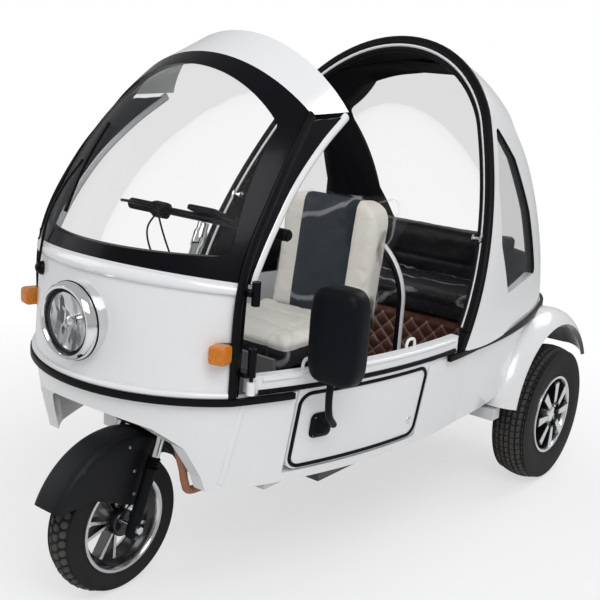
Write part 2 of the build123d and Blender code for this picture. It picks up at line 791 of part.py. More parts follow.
with BuildPart() as door_mirror:
    block(mirror_x - mirror_t / 2, mirror_x + mirror_t / 2, mirror_y - mirror_w / 2, mirror_y + mirror_w / 2,
          mirror_z - mirror_h / 2, mirror_z + mirror_h / 2)
    fillet(edges().filter_by(Axis.X), mirror_round)
    rod((stalk_x, stalk_y, stalk_z), (mirror_x, stalk_y + mirror_t / 2, mirror_z), stalk_r)
    block(stalk_x - mirror_foot / 2, stalk_x + mirror_foot / 2, stalk_y - 2 * mirror_foot, stalk_y + stalk_r,
          stalk_z - mirror_foot, stalk_z + stalk_r)
    add(tub_solid, mode=Mode.SUBTRACT)
    add(door_skin, mode=Mode.SUBTRACT)
finish(door_mirror.part, "door_mirror")

# Steering: fork with axle pin, stem, handlebar, grips, display and front mudguard
with BuildPart() as fork:
    for side in (1, -1):
        with BuildSketch(steer_plane.offset(-fork_drop)):
            with Locations((0, side * fork_y)):
                Circle(fork_leg_r)
        extrude(amount=crown_h + fork_drop)
    with BuildSketch(steer_plane.offset(crown_h)):
        RectangleRounded(2 * crown_half_depth, 2 * (fork_y + fork_leg_r), fork_leg_r)
    extrude(amount=crown_t)
    with BuildSketch(steer_plane.offset(crown_h + crown_t)):
        Circle(steerer_r)
    extrude(amount=bar_height - bar_r - crown_h - crown_t)
    rod((front_axle_x, -fork_y, front_tyre_r), (front_axle_x, fork_y, front_tyre_r), front_axle_r)
finish(fork.part, "fork")
bar_centre = steer_plane.origin + steer_axis * bar_height
with BuildPart() as handlebar:
    rod((bar_centre.X, -grip_end_y, bar_centre.Z), (bar_centre.X, grip_end_y, bar_centre.Z), bar_r)
    add(fork.part, mode=Mode.SUBTRACT)
finish(handlebar.part, "handlebar")
with BuildPart() as grips:
    for side in (1, -1):
        rod((bar_centre.X, side * bar_half, bar_centre.Z),
            (bar_centre.X, side * (grip_end_y - fit_gap), bar_centre.Z), grip_r)
        rod((bar_centre.X, side * bar_half, bar_centre.Z), (bar_centre.X, side * grip_end_y, bar_centre.Z),
            bar_r + fit_gap, mode=Mode.SUBTRACT)
finish(grips.part, "grips")
display_plane = Plane(origin=bar_centre + steer_axis * (bar_r + fit_gap), x_dir=(0, 1, 0), z_dir=steer_axis)
with BuildPart() as display:
    with BuildSketch(display_plane):
        RectangleRounded(display_w, display_d, display_round)
    extrude(amount=display_t)
finish(display.part, "display")
guard_start = radians(guard_front_angle)
with BuildPart() as front_mudguard:
    with BuildSketch(Plane(origin=steer_plane.origin, x_dir=(cos(guard_start), 0, sin(guard_start)),
                           z_dir=(-sin(guard_start), 0, cos(guard_start)))):
        Polygon((guard_r - guard_skirt, -guard_half_w), (guard_r - guard_wall, -guard_half_w),
                (guard_r, guard_wall - guard_half_w), (guard_r, guard_half_w - guard_wall),
                (guard_r - guard_wall, guard_half_w), (guard_r - guard_skirt, guard_half_w),
                (guard_r - guard_skirt, guard_half_w - guard_wall),
                (guard_r - guard_wall, guard_half_w - guard_wall),
                (guard_r - guard_wall, guard_wall - guard_half_w),
                (guard_r - guard_skirt, guard_wall - guard_half_w),
                align=None)
    revolve(axis=Axis(steer_plane.origin, (0, -1, 0)), revolution_arc=guard_rear_angle - guard_front_angle)
    hub = (front_axle_x, front_tyre_r)
    for outer_y in (guard_half_w, guard_wall - guard_half_w):
        with BuildSketch(Plane.XZ.offset(-outer_y)) as flap:
            with BuildLine():
                start, end = guard_flap_top
                top = CenterArc(hub, guard_r - guard_wall / 2, start, end - start)
                start, end = guard_flap_foot
                foot = CenterArc(hub, guard_flap_r, start, end - start)
                Line(top @ 0, foot @ 0)
                Line(top @ 1, foot @ 1)
            make_face()
        extrude(flap.sketch, amount=guard_wall)
finish(front_mudguard.part, "front_mudguard")


def tyre_and_rim(x, y, z, sizes, tyre_name, rim_name):
    """Tyre ring and spoked rim of one wheel, on the axle point x, y, z."""
    tyre_r, tyre_w, rim_r, rim_w, hub_r, bore_r, spokes, hub_half = sizes
    plane = Plane(origin=(x, y, z), x_dir=(1, 0, 0), z_dir=(0, 0, 1))
    spin_axis = Axis((x, y, z), (0, 1, 0))
    tread_half = tyre_w * tread_share / 2
    wall_r = (tyre_r + rim_r) / 2
    with BuildPart() as tyre:
        with BuildSketch(plane):
            with BuildLine():
                shoulder_r = tyre_r - tread_drop
                ThreePointArc((shoulder_r, -tread_half), (tyre_r, 0), (shoulder_r, tread_half))
                Line((rim_r, -rim_w / 2), (rim_r, rim_w / 2))
                for side in (1, -1):
                    ThreePointArc((shoulder_r, side * tread_half), (wall_r, side * tyre_w / 2),
                                  (rim_r, side * rim_w / 2))
            make_face()
        revolve(axis=spin_axis)
    finish(tyre.part, tyre_name)
    with BuildPart() as rim:
        with BuildSketch(plane):
            inner_r = rim_r - fit_gap - rim_wall
            with Locations((rim_r - fit_gap - rim_wall / 2, 0)):
                Rectangle(rim_wall, rim_w)
            for side in (1, -1):
                with Locations((rim_r - rim_wall / 2, side * (rim_w + rim_lip_w) / 2)):
                    Rectangle(rim_wall, rim_lip_w)
            with Locations(((hub_r + bore_r + running_fit) / 2, 0)):
                Rectangle(hub_r - bore_r - running_fit, 2 * hub_half)
        revolve(axis=spin_axis)
        with BuildSketch(Plane(origin=(x, y, z), x_dir=(1, 0, 0), z_dir=(0, 1, 0))):
            with PolarLocations((hub_r + inner_r) / 2, spokes):
                Rectangle(inner_r - hub_r + rim_wall, spoke_w)
        extrude(amount=spoke_t / 2, both=True)
    finish(rim.part, rim_name)


front_sizes = (front_tyre_r, front_tyre_w, front_rim_r, front_rim_w, front_hub_r, front_axle_r, front_spokes,
               front_hub_half)
rear_sizes = (rear_tyre_r, rear_tyre_w, rear_rim_r, rear_rim_w, rear_hub_r, rear_axle_r, rear_spokes,
              rear_hub_half)
tyre_and_rim(front_axle_x, 0, front_tyre_r, front_sizes, "front_tyre", "front_rim")
tyre_and_rim(rear_axle_x, rear_wheel_y, rear_tyre_r, rear_sizes, "rear_tyre_left", "rear_rim_left")
tyre_and_rim(rear_axle_x, -rear_wheel_y, rear_tyre_r, rear_sizes, "rear_tyre_right", "rear_rim_right")
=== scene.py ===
"""Looks of an enclosed electric tricycle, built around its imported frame. Metres, +X forward, +Z up."""
from math import cos, exp, pi, radians, sin

import bmesh
import bpy
from mathutils import Matrix, Vector, noise
from mathutils.bvhtree import BVHTree


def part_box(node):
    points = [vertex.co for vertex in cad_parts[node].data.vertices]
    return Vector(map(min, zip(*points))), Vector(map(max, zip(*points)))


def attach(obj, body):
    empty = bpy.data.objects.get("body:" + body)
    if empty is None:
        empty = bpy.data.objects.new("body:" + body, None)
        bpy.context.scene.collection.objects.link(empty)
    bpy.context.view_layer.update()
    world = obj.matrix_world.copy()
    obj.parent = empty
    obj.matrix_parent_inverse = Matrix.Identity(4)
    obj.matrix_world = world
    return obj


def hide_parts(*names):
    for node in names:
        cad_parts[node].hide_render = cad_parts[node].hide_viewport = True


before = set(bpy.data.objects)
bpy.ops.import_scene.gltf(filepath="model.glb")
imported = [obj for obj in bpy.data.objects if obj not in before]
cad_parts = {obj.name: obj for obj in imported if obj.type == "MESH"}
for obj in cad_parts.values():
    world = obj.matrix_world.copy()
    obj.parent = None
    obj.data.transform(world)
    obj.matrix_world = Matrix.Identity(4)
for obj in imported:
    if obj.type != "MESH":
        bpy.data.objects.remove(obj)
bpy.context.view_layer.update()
scene = bpy.context.scene

# Camera: a person's eye height in front of the left headlamp side, a moderate lens,
# held a few degrees off level as in the photograph.
def placed(name, data):
    """New object in the scene."""
    obj = bpy.data.objects.new(name, data)
    scene.collection.objects.link(obj)
    return obj


camera_place = Vector((2.596, 1.876, 1.480))
camera_heading = radians(217.09)
camera_dip = radians(14.07)
camera_roll = radians(3.97)
sensor_width = 36.0
lens_length = 59.38
view_dir = Vector((cos(camera_heading) * cos(camera_dip), sin(camera_heading) * cos(camera_dip),
                   -sin(camera_dip)))
level_right = view_dir.cross(Vector((0, 0, 1))).normalized()
level_up = level_right.cross(view_dir)
camera_right = level_right * cos(camera_roll) + level_up * sin(camera_roll)
camera_up = level_up * cos(camera_roll) - level_right * sin(camera_roll)
camera = placed("camera", bpy.data.cameras.new("camera"))
camera.data.sensor_width = sensor_width
camera.data.lens = lens_length
camera.matrix_world = Matrix.Translation(camera_place) @ Matrix(
    (camera_right, camera_up, -view_dir)).transposed().to_4x4()
scene.camera = camera


# Studio: a pale floor that keeps the shadow, an even white surround and three soft lamps,
# the largest overhead and to the left of the nose.
def add(tree, kind, inputs=None, **options):
    """New node in a tree. Each input is a value, or the output of another node that feeds it."""
    made = tree.nodes.new(kind)
    for option, value in options.items():
        setattr(made, option, value)
    for socket, value in (inputs or {}).items():
        if isinstance(value, bpy.types.NodeSocket):
            tree.links.new(value, made.inputs[socket])
        else:
            made.inputs[socket].default_value = value
    return made


def surface(name, inputs):
    """New material, its node tree, and its main shader with the given inputs."""
    material = bpy.data.materials.new(name)
    material.use_nodes = True
    shader = material.node_tree.nodes["Principled BSDF"]
    for socket, value in inputs.items():
        shader.inputs[socket].default_value = value
    return material, material.node_tree, shader


scene.view_settings.view_transform = "Standard"
surround_light, backdrop_light = 0.48, 1.0
world = bpy.data.worlds.new("surround")
world.use_nodes = True
scene.world = world
backdrop = world.node_tree.nodes["Background"]
rays = add(world.node_tree, "ShaderNodeLightPath").outputs
seen = add(world.node_tree, "ShaderNodeMath", {0: rays["Is Camera Ray"], 1: rays["Is Transmission Ray"]},
           operation="MAXIMUM")
strength = add(world.node_tree, "ShaderNodeMapRange",
               {"Value": seen.outputs[0], "To Min": surround_light, "To Max": backdrop_light})
world.node_tree.links.new(strength.outputs["Result"], backdrop.inputs["Strength"])
backdrop.inputs["Color"].default_value = (1, 1, 1, 1)
lamp_target = Vector((0.2, 0, 0.7))
studio_lamps = (("key", (2.2, 2.4, 3.6), 2.2, 78), ("fill", (2.6, -2.6, 2.4), 2.4, 26),
                ("rim", (-2.8, 1.0, 3.2), 2.0, 40))
for lamp_name, place, breadth, power in studio_lamps:
    lamp = placed(lamp_name, bpy.data.lights.new(lamp_name, "AREA"))
    lamp.data.size = breadth
    lamp.data.energy = power
    lamp.location = place
    lamp.rotation_euler = (lamp_target - lamp.location).to_track_quat("-Z", "Y").to_euler()
floor_half = 14.0
floor_mesh = bpy.data.meshes.new("floor")
floor_corners = [(x * floor_half, y * floor_half, 0) for x, y in ((-1, -1), (1, -1), (1, 1), (-1, 1))]
floor_mesh.from_pydata(floor_corners, [], [(0, 1, 2, 3)])
floor = placed("floor", floor_mesh)
fade_near, fade_far, least_glow = 1.1, 2.4, 0.62
floor_paper, paper_tree, paper = surface("floor_paper",
                                         {"Base Color": (0.86, 0.86, 0.86, 1), "Roughness": 0.9})
paper_place = add(paper_tree, "ShaderNodeTexCoord").outputs["Object"]
paper_reach = add(paper_tree, "ShaderNodeVectorMath", {0: paper_place}, operation="LENGTH").outputs["Value"]
paper_fade = add(paper_tree, "ShaderNodeMapRange", {
    "Value": paper_reach, "From Min": fade_near, "From Max": fade_far, "To Min": least_glow})
camera_ray = add(paper_tree, "ShaderNodeLightPath").outputs["Is Camera Ray"]
glow_share = add(paper_tree, "ShaderNodeMath", {0: camera_ray, 1: paper_fade.outputs["Result"]},
                 operation="MULTIPLY")
paper_glow = add(paper_tree, "ShaderNodeEmission").outputs[0]
paper_mix = add(paper_tree, "ShaderNodeMixShader",
                {"Fac": glow_share.outputs[0], 1: paper.outputs[0], 2: paper_glow})
paper_tree.links.new(paper_mix.outputs[0], paper_tree.nodes["Material Output"].inputs["Surface"])
floor_mesh.materials.append(floor_paper)


# Chassis: white box tube under the floor, with road dust low down. The front frame is bare tube in
# brown primer, the axle and springs are grey steel, and motor and battery hang as plain cases.
def repaint(material, factor, colour, blend="MIX"):
    """Lay a colour, or an output that gives one, over a finish by a factor."""
    tree = material.node_tree
    base = tree.nodes["Principled BSDF"].inputs["Base Color"]
    over = colour if isinstance(colour, bpy.types.NodeSocket) else (*colour, 1)
    both = add(tree, "ShaderNodeMix", {"Factor": factor, "A": base.links[0].from_socket, "B": over},
               data_type="RGBA", blend_type=blend)
    tree.links.new(both.outputs["Result"], base)


def finish(name, colour, roughness, metallic=0.0, mottle=0.04, mottle_scale=5.0, grain=0.0,
           grain_scale=600.0, coat=0.0, dust=None, shine=0.5):
    """Opaque finish whose tone, gloss and grain vary softly; dust is (colour, height where it ends)."""
    material, tree, shader = surface(name, {
        "Metallic": metallic, "Coat Weight": coat, "Coat Roughness": 0.06, "Specular IOR Level": shine})
    place = add(tree, "ShaderNodeTexCoord").outputs["Object"]
    cloud = add(tree, "ShaderNodeTexNoise",
                {"Vector": place, "Scale": mottle_scale, "Detail": 5.0}).outputs["Fac"]
    darker, lighter = [(*[min(1, c * (1 + change)) for c in colour], 1) for change in (-mottle, mottle)]
    tone = add(tree, "ShaderNodeMix", {"Factor": cloud, "A": darker, "B": lighter}, data_type="RGBA")
    tree.links.new(tone.outputs["Result"], shader.inputs["Base Color"])
    if dust:
        dust_colour, dust_top = dust
        height = add(tree, "ShaderNodeSeparateXYZ", {0: place}).outputs["Z"]
        low = add(tree, "ShaderNodeMapRange", {
            "Value": height, "From Min": dust_top, "From Max": 0.0, "To Max": 0.7})
        patchy = add(tree, "ShaderNodeMath", {0: low.outputs["Result"], 1: cloud}, operation="MULTIPLY")
        repaint(material, patchy.outputs[0], dust_colour)
    gloss = add(tree, "ShaderNodeMapRange", {
        "Value": cloud, "To Min": roughness * 0.85, "To Max": min(1.0, roughness * 1.15)})
    tree.links.new(gloss.outputs["Result"], shader.inputs["Roughness"])
    if grain:
        pebble = add(tree, "ShaderNodeTexNoise", {"Vector": place, "Scale": grain_scale}).outputs["Fac"]
        bump = add(tree, "ShaderNodeBump", {"Height": pebble, "Strength": grain, "Distance": 0.001})
        tree.links.new(bump.outputs["Normal"], shader.inputs["Normal"])
    return material


def dress(material, *nodes):
    """Give CAD nodes a better finish."""
    for node in nodes:
        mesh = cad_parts[node].data
        mesh.materials.clear()
        mesh.materials.append(material)


road_dust = ((0.36, 0.33, 0.29), 0.5)
white_tube = finish("white_tube_paint", (0.80, 0.81, 0.82), 0.32, coat=0.3, dust=road_dust)
brown_primer = finish("brown_primer", (0.30, 0.125, 0.06), 0.55, mottle=0.25, mottle_scale=30, grain=0.2)
grey_steel = finish("grey_steel", (0.30, 0.30, 0.31), 0.38, metallic=0.9, mottle=0.15, mottle_scale=40,
                    dust=road_dust)
cast_alloy = finish("cast_alloy", (0.50, 0.50, 0.51), 0.45, metallic=0.8, mottle=0.12, grain=0.25,
                    dust=road_dust)
battery_plastic = finish("battery_plastic", (0.045, 0.045, 0.05), 0.5, mottle=0.2, grain=0.15,
                         dust=road_dust)
floor_steel = finish("floor_paint", (0.10, 0.10, 0.105), 0.6, mottle=0.2, grain=0.2)
dress(white_tube, "chassis_frame", "guard_arch")
dress(brown_primer, "front_frame")
dress(grey_steel, "rear_axle", "leaf_springs")
dress(cast_alloy, "drive_motor")
dress(battery_plastic, "battery_box")
dress(floor_steel, "floor_pan")


# Front tubes: two bent steel tubes in brown primer on the left of the fork, welded to the front frame
# below the nose.
def mounted(obj, body):
    """Let an object ride on a body."""
    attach(obj, body)
    return obj


def smoothed(mesh, crease):
    """Shade a mesh smooth, with edges sharper than crease left sharp."""
    mesh.shade_smooth()
    mesh.set_sharp_from_angle(angle=radians(crease))


def piece(name, points, faces, material, body, slot, crease=40.0):
    """New mesh piece that rides on a body; edges sharper than crease stay sharp."""
    mesh = bpy.data.meshes.new(name)
    mesh.from_pydata([tuple(p) for p in points], [], faces)
    shell = bmesh.new()
    shell.from_mesh(mesh)
    bmesh.ops.remove_doubles(shell, verts=shell.verts, dist=1e-6)
    bmesh.ops.recalc_face_normals(shell, faces=shell.faces)
    shell.to_mesh(mesh)
    shell.free()
    smoothed(mesh, crease)
    mesh.materials.append(material)
    return mounted(placed(name, mesh), body)


def skin(rings, loop=False, caps=True):
    """Points and faces of a surface through rings of equal count; loop joins the last to the first."""
    count = len(rings[0])
    points = [p for ring in rings for p in ring]
    faces = []
    for i in range(len(rings) if loop else len(rings) - 1):
        a, b = i * count, (i + 1) % len(rings) * count
        faces += [(a + j, a + (j + 1) % count, b + (j + 1) % count, b + j) for j in range(count)]
    if caps and not loop:
        faces += [tuple(range(count)), tuple(range(len(points) - count, len(points)))]
    return points, faces


def bead(path, normals, width, height, loop=False, sides=10):
    """Points and faces of an oval strip lying along a path on a surface."""
    rings = []
    last = len(path) - 1
    for i, (point, normal) in enumerate(zip(path, normals)):
        ahead = path[(i + 1) % len(path)] if loop or i < last else point
        behind = path[i - 1] if loop or i > 0 else point
        across = (ahead - behind).cross(normal).normalized()
        up = across.cross(ahead - behind).normalized()
        rings.append([point + across * (cos(t) * width / 2) + up * (sin(t) * height)
                      for t in (2 * pi * k / sides for k in range(sides))])
    return skin(rings, loop)


def joined(*parts):
    """Several (points, faces) as one."""
    points, faces = [], []
    for some_points, some_faces in parts:
        start = len(points)
        points += some_points
        faces += [tuple(start + i for i in face) for face in some_faces]
    return points, faces


def smooth_line(points, count):
    """Evenly numbered points of a curve through the given ones."""
    knots = [Vector(p) for p in points]
    knots = [2 * knots[0] - knots[1]] + knots + [2 * knots[-1] - knots[-2]]
    line = []
    for i in range(count):
        whole = i * (len(points) - 1) / (count - 1)
        k = min(int(whole), len(points) - 2)
        t = whole - k
        a, b, c, d = knots[k:k + 4]
        line.append(0.5 * (2 * b + (c - a) * t + (2 * a - 5 * b + 4 * c - d) * t ** 2
                           + (3 * b - a - 3 * c + d) * t ** 3))
    return line


to_front, to_left, to_top = Vector((1, 0, 0)), Vector((0, 1, 0)), Vector((0, 0, 1))
tube_size = 0.022
tube_y = 0.235
tube_parts = []
tube_runs = (((0.905, 0.520), (0.893, 0.470), (0.876, 0.420), (0.866, 0.380), (0.848, 0.352),
              (0.780, 0.346)),
             ((0.884, 0.440), (0.850, 0.415), (0.815, 0.385), (0.780, 0.350)))
for run in tube_runs:
    line = smooth_line([(x, tube_y, z) for x, z in run], 8 * len(run))
    tube_parts.append(bead(line, [to_left] * len(line), tube_size, tube_size / 2, sides=14))
piece("front_tubes", *joined(*tube_parts), brown_primer, "chassis", "brown_frame")


# Body panels: glossy white moulded shells, with a faint ripple in the gelcoat. The fenders are alike
# outside, and painted near black on the side that faces the wheel.
def gelcoat(name):
    """White gelcoat that is barely rippled."""
    return finish(name, (0.80, 0.81, 0.825), 0.2, mottle=0.025, mottle_scale=3, grain=0.03, grain_scale=90,
                  coat=0.6)


white_gelcoat = gelcoat("white_gelcoat")
dress(white_gelcoat, "lower_body", "rear_tub", "nose_panel", "brow", "rear_shell", "door_left",
      "door_right")
fender_gelcoat = gelcoat("fender_gelcoat")
wheel_side_black, fender_centre, turned_in = (0.020, 0.017, 0.015), (-0.729, 0, 0.285), -0.03
fender_tree = fender_gelcoat.node_tree
fender_place = add(fender_tree, "ShaderNodeTexCoord").outputs["Object"]
from_axle = add(fender_tree, "ShaderNodeVectorMath", {0: fender_place, 1: fender_centre},
                operation="SUBTRACT")
outwards = add(fender_tree, "ShaderNodeVectorMath", {0: from_axle.outputs["Vector"], 1: (1, 0, 1)},
               operation="MULTIPLY")
face_normal = add(fender_tree, "ShaderNodeNewGeometry").outputs["Normal"]
facing_wheel = add(fender_tree, "ShaderNodeVectorMath", {0: outwards.outputs["Vector"], 1: face_normal},
                   operation="DOT_PRODUCT")
toward_wheel_mask = add(fender_tree, "ShaderNodeMath", {0: facing_wheel.outputs["Value"], 1: turned_in},
             operation="LESS_THAN")
# Faces turned toward the wheel are painted near black.
repaint(fender_gelcoat, toward_wheel_mask.outputs[0], wheel_side_black)
dress(fender_gelcoat, "fender_left", "fender_right")

# Black frames: the screen frame, door posts and handlebar are steel in gloss black enamel. The seal
# round the rear hoop is extruded black rubber.
black_rubber = finish("black_rubber", (0.005, 0.005, 0.006), 0.42, mottle=0.25, mottle_scale=20, grain=0.12,
                      shine=0.09)
dress(black_rubber, "hoop_seal")
black_enamel = finish("black_enamel", (0.003, 0.003, 0.005), 0.25, mottle=0.2, coat=0.04, shine=0.09)
dress(black_enamel, "windscreen_frame", "door_posts", "handlebar")


# Seals and trim: extruded rubber pushed onto the panels' edges. Each strip follows the panel that it
# sits on, found by looking straight at the panel from outside.
def panel_tree(*nodes):
    """Search tree of CAD panels."""
    points, faces = [], []
    for node in nodes:
        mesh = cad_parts[node].data
        start = len(points)
        points += [v.co.copy() for v in mesh.vertices]
        faces += [[start + i for i in f.vertices] for f in mesh.polygons]
    return BVHTree.FromPolygons(points, faces)


def onto(tree, starts, direction):
    """Where straight looks from the starts meet a panel: points and outward normals."""
    path, normals = [], []
    for start in starts:
        hit, normal, _, _ = tree.ray_cast(Vector(start), Vector(direction))
        if hit is not None:
            path.append(hit)
            normals.append(-normal if normal.dot(Vector(direction)) > 0 else normal)
    return path, normals


def from_side(tree, side, places):
    """Where straight looks from beside the body meet a panel, at the given (x, z) places."""
    return onto(tree, [(x, side * clear_of_body, z) for x, z in places], (0, -side, 0))


def straight(start, end, count):
    """Evenly spaced (x, z) places from one to another."""
    return [tuple(a + (b - a) * k / (count - 1) for a, b in zip(start, end)) for k in range(count)]


clear_of_body = 0.9
seal_width, seal_height, seal_step = 0.011, 0.005, 0.02
rail_strip = straight((0.790, 0.651), (0.060, 0.651), 61)
door_sides = ((1, "door_left"), (-1, "door_right"))
panel_front, panel_rear = 0.668, 0.204
panel_bottom, panel_top = 0.418, 0.630
panel_corner = 0.032
corner_steps = 6
outline = []
for cx, cz, first in ((panel_front - panel_corner, panel_bottom + panel_corner, -90),
                      (panel_front - panel_corner, panel_top - panel_corner, 0),
                      (panel_rear + panel_corner, panel_top - panel_corner, 90),
                      (panel_rear + panel_corner, panel_bottom + panel_corner, 180)):
    for step in range(corner_steps + 1):
        turn = radians(first + 90 * step / corner_steps)
        outline.append(Vector((cx + panel_corner * cos(turn), 0, cz + panel_corner * sin(turn))))
dense = []
for a, b in zip(outline, outline[1:] + outline[:1]):
    pieces_here = max(1, round((b - a).length / seal_step))
    dense += [a.lerp(b, k / pieces_here) for k in range(pieces_here)]
for side, door in door_sides:
    tree = panel_tree(door)
    path, normals = from_side(tree, side, [(p.x, p.z) for p in dense])
    piece(f"{door}_seal", *bead(path, normals, seal_width, seal_height, loop=True), black_rubber, door,
          "black_rubber")
    path, normals = from_side(tree, side, rail_strip)
    piece(f"{door}_rail_strip", *bead(path, normals, 0.014, 0.006), black_rubber, door, "black_rubber")


# Nose edging: a rubber channel down each rear edge of the nose, and a white cover strip over
# a black web up the screen pillars to the brow.
def on_side(points, side):
    """Points given for the left, put on the given side."""
    return [(x, side * y, z) for x, y, z in points]


both_sides = ((1, "left"), (-1, "right"))
pillar_line = ((0.853, 0.370, 0.642), (0.842, 0.375, 0.932), (0.722, 0.366, 1.150), (0.560, 0.336, 1.326),
               (0.405, 0.336, 1.334))
edging_width, cover_width, web_half = 0.030, 0.026, 0.004
cover_line = ((0.806, 0.374, 0.925), (0.790, 0.374, 0.960), (0.736, 0.371, 1.045), (0.647, 0.362, 1.151),
              (0.530, 0.349, 1.247), (0.414, 0.337, 1.320))
web_top = ((0.580, 0.341, 1.297), (0.480, 0.338, 1.316))
strip_count = 46
for side, word in both_sides:
    outward = Vector((0, side, 0))
    edge = smooth_line(on_side(pillar_line[:4], side), strip_count)
    piece(f"nose_edging_{word}", *bead(edge, [outward] * strip_count, edging_width, 0.007), black_rubber,
          "chassis", "black_rubber")
    upper_edge = smooth_line(on_side(pillar_line[1:3] + web_top, side), strip_count)
    cover = smooth_line(on_side(cover_line, side), strip_count)
    web_rings = []
    for a, b in zip(upper_edge, cover):
        across_web = (a, (a + b) / 2, b)
        web_rings.append([p + outward * web_half for p in across_web]
                         + [p - outward * web_half for p in reversed(across_web)])
    piece(f"pillar_web_{word}", *skin(web_rings), black_enamel, "chassis", "black_paint")
    piece(f"pillar_cover_{word}", *bead(cover, [outward] * strip_count, cover_width, 0.009), white_gelcoat,
          "chassis", "white_shell")

# Nose lip: the step moulded into the nose under the screen, where it turns out over the screen's rubber.
# Its section is laid along the nose, between two gently bowed lines.
nose_tree = panel_tree("nose_panel")
nose_hub_x = 0.578
lip_rows = []
lip_reach, lip_count = 54, 61
for share, proud in ((0.0, 0.0), (0.08, 0.006), (0.4, 0.008), (0.8, 0.007), (1.0, 0.0)):
    row = []
    for k in range(lip_count):
        side_share = 2 * k / (lip_count - 1) - 1
        turn = radians(lip_reach * side_share)
        spoke = Vector((cos(turn), sin(turn), 0))
        foot_z, head_z = 0.919 - 0.018 * side_share ** 2, 0.950 - 0.026 * side_share ** 2
        nose_hub = Vector((nose_hub_x, 0, foot_z + (head_z - foot_z) * share))
        hits, _ = onto(nose_tree, [nose_hub + spoke * clear_of_body], -spoke)
        row.append(hits[0] + spoke * proud if hits else None)
    lip_rows.append(row)
whole = [k for k in range(lip_count) if all(row[k] is not None for row in lip_rows)]
lip_points = [row[k] for row in lip_rows for k in whole]
wide = len(whole)
lip_faces = [(i * wide + j, i * wide + j + 1, (i + 1) * wide + j + 1, (i + 1) * wide + j)
             for i in range(len(lip_rows) - 1) for j in range(wide - 1)]
piece("nose_lip", lip_points, lip_faces, white_gelcoat, "chassis", "white_shell", crease=80)

# Belt trim: the rubber strip over the joint between the upper and lower mouldings. Its top edge stays
# where the solid has it, and its lips are drawn in to the slim round section of the real extrusion.
trim_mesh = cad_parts["belt_trim"].data.copy()
trim_top, trim_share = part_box("belt_trim")[1].z, 0.70
for vert in trim_mesh.vertices:
    vert.co.z = trim_top - (trim_top - vert.co.z) * trim_share
trim_shape = bmesh.new()
trim_shape.from_mesh(trim_mesh)
bmesh.ops.remove_doubles(trim_shape, verts=trim_shape.verts, dist=1e-5)
trim_shape.to_mesh(trim_mesh)
trim_shape.free()
trim_mesh.materials.clear()
trim_mesh.materials.append(black_rubber)
slim_trim = placed("belt_strip", trim_mesh)
lips = slim_trim.modifiers.new("lips", "BEVEL")
lips.width, lips.segments, lips.limit_method, lips.angle_limit = 0.003, 2, "ANGLE", radians(50)
mounted(slim_trim, "chassis")
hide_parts("belt_trim")

# Belt flange: the rolled white edge of the nose moulding, just above the rubber belt. It stands a little
# proud of the nose and runs round to both sides.
flange_hub = Vector((nose_hub_x, 0, 0.650))
flange_path, flange_normals = [], []
for angle in range(-52, 53, 2):
    spoke = Vector((cos(radians(angle)), sin(radians(angle)), 0))
    hits, outs = onto(nose_tree, [flange_hub + spoke * clear_of_body], -spoke)
    flange_path += hits
    flange_normals += outs
piece("belt_flange", *bead(flange_path, flange_normals, 0.018, 0.009), white_gelcoat, "chassis",
      "white_shell")

# Body creases: the soft fold down each side of the lower moulding, where the rounded nose tub meets the
# flat side panel.
lower_tree = panel_tree("lower_body")
fold_line = straight((0.842, 0.400), (0.822, 0.622), 25)
for side, word in both_sides:
    fold_path, fold_outs = from_side(lower_tree, side, fold_line)
    piece(f"body_fold_{word}", *bead(fold_path, fold_outs, 0.018, 0.0028), white_gelcoat, "chassis",
          "white_shell")


# Glass: clear bent panes with a faint grey cast, bonded into the screen frame and the rear shell. They
# grow less clear where they are seen at a slant.
def clear(name, colour, opacity, roughness=0.03):
    """Thin clear finish that lets most light straight through."""
    material, tree, shader = surface(name, {
        "Base Color": (*colour, 1), "Roughness": roughness, "Specular IOR Level": 0.3})
    facing = add(tree, "ShaderNodeLayerWeight", {"Blend": 0.3}).outputs["Fresnel"]
    cover = add(tree, "ShaderNodeMapRange", {
        "Value": facing, "To Min": opacity, "To Max": min(1, opacity + 0.2)})
    tree.links.new(cover.outputs["Result"], shader.inputs["Alpha"])
    return material


screen_glass = clear("screen_glass", (0.10, 0.105, 0.11), 0.04)
dress(screen_glass, "windscreen_glass", "rear_glass", "quarter_glass")


# Headlamp: a chromed steel rim round a fluted glass, with a rubber gasket and band. A reflector and a bulb
# cap sit behind the glass; the reflector's facets are painted light and dark, a painted reflection.
def turned(profile, centre, axis, steps=64, closed=False):
    """Points and faces of a profile of (radius, distance along the axis) turned round an axis."""
    axis = Vector(axis).normalized()
    first = axis.orthogonal().normalized()
    second = axis.cross(first)
    rings = []
    for k in range(steps):
        spoke = first * cos(2 * pi * k / steps) + second * sin(2 * pi * k / steps)
        rings.append([Vector(centre) + spoke * r + axis * h for r, h in profile])
    count = len(profile)
    faces = [(i * count + j, i * count + (j + 1) % count, (i + 1) % steps * count + (j + 1) % count,
              (i + 1) % steps * count + j)
             for i in range(steps) for j in range(count if closed else count - 1)]
    return [p for ring in rings for p in ring], faces


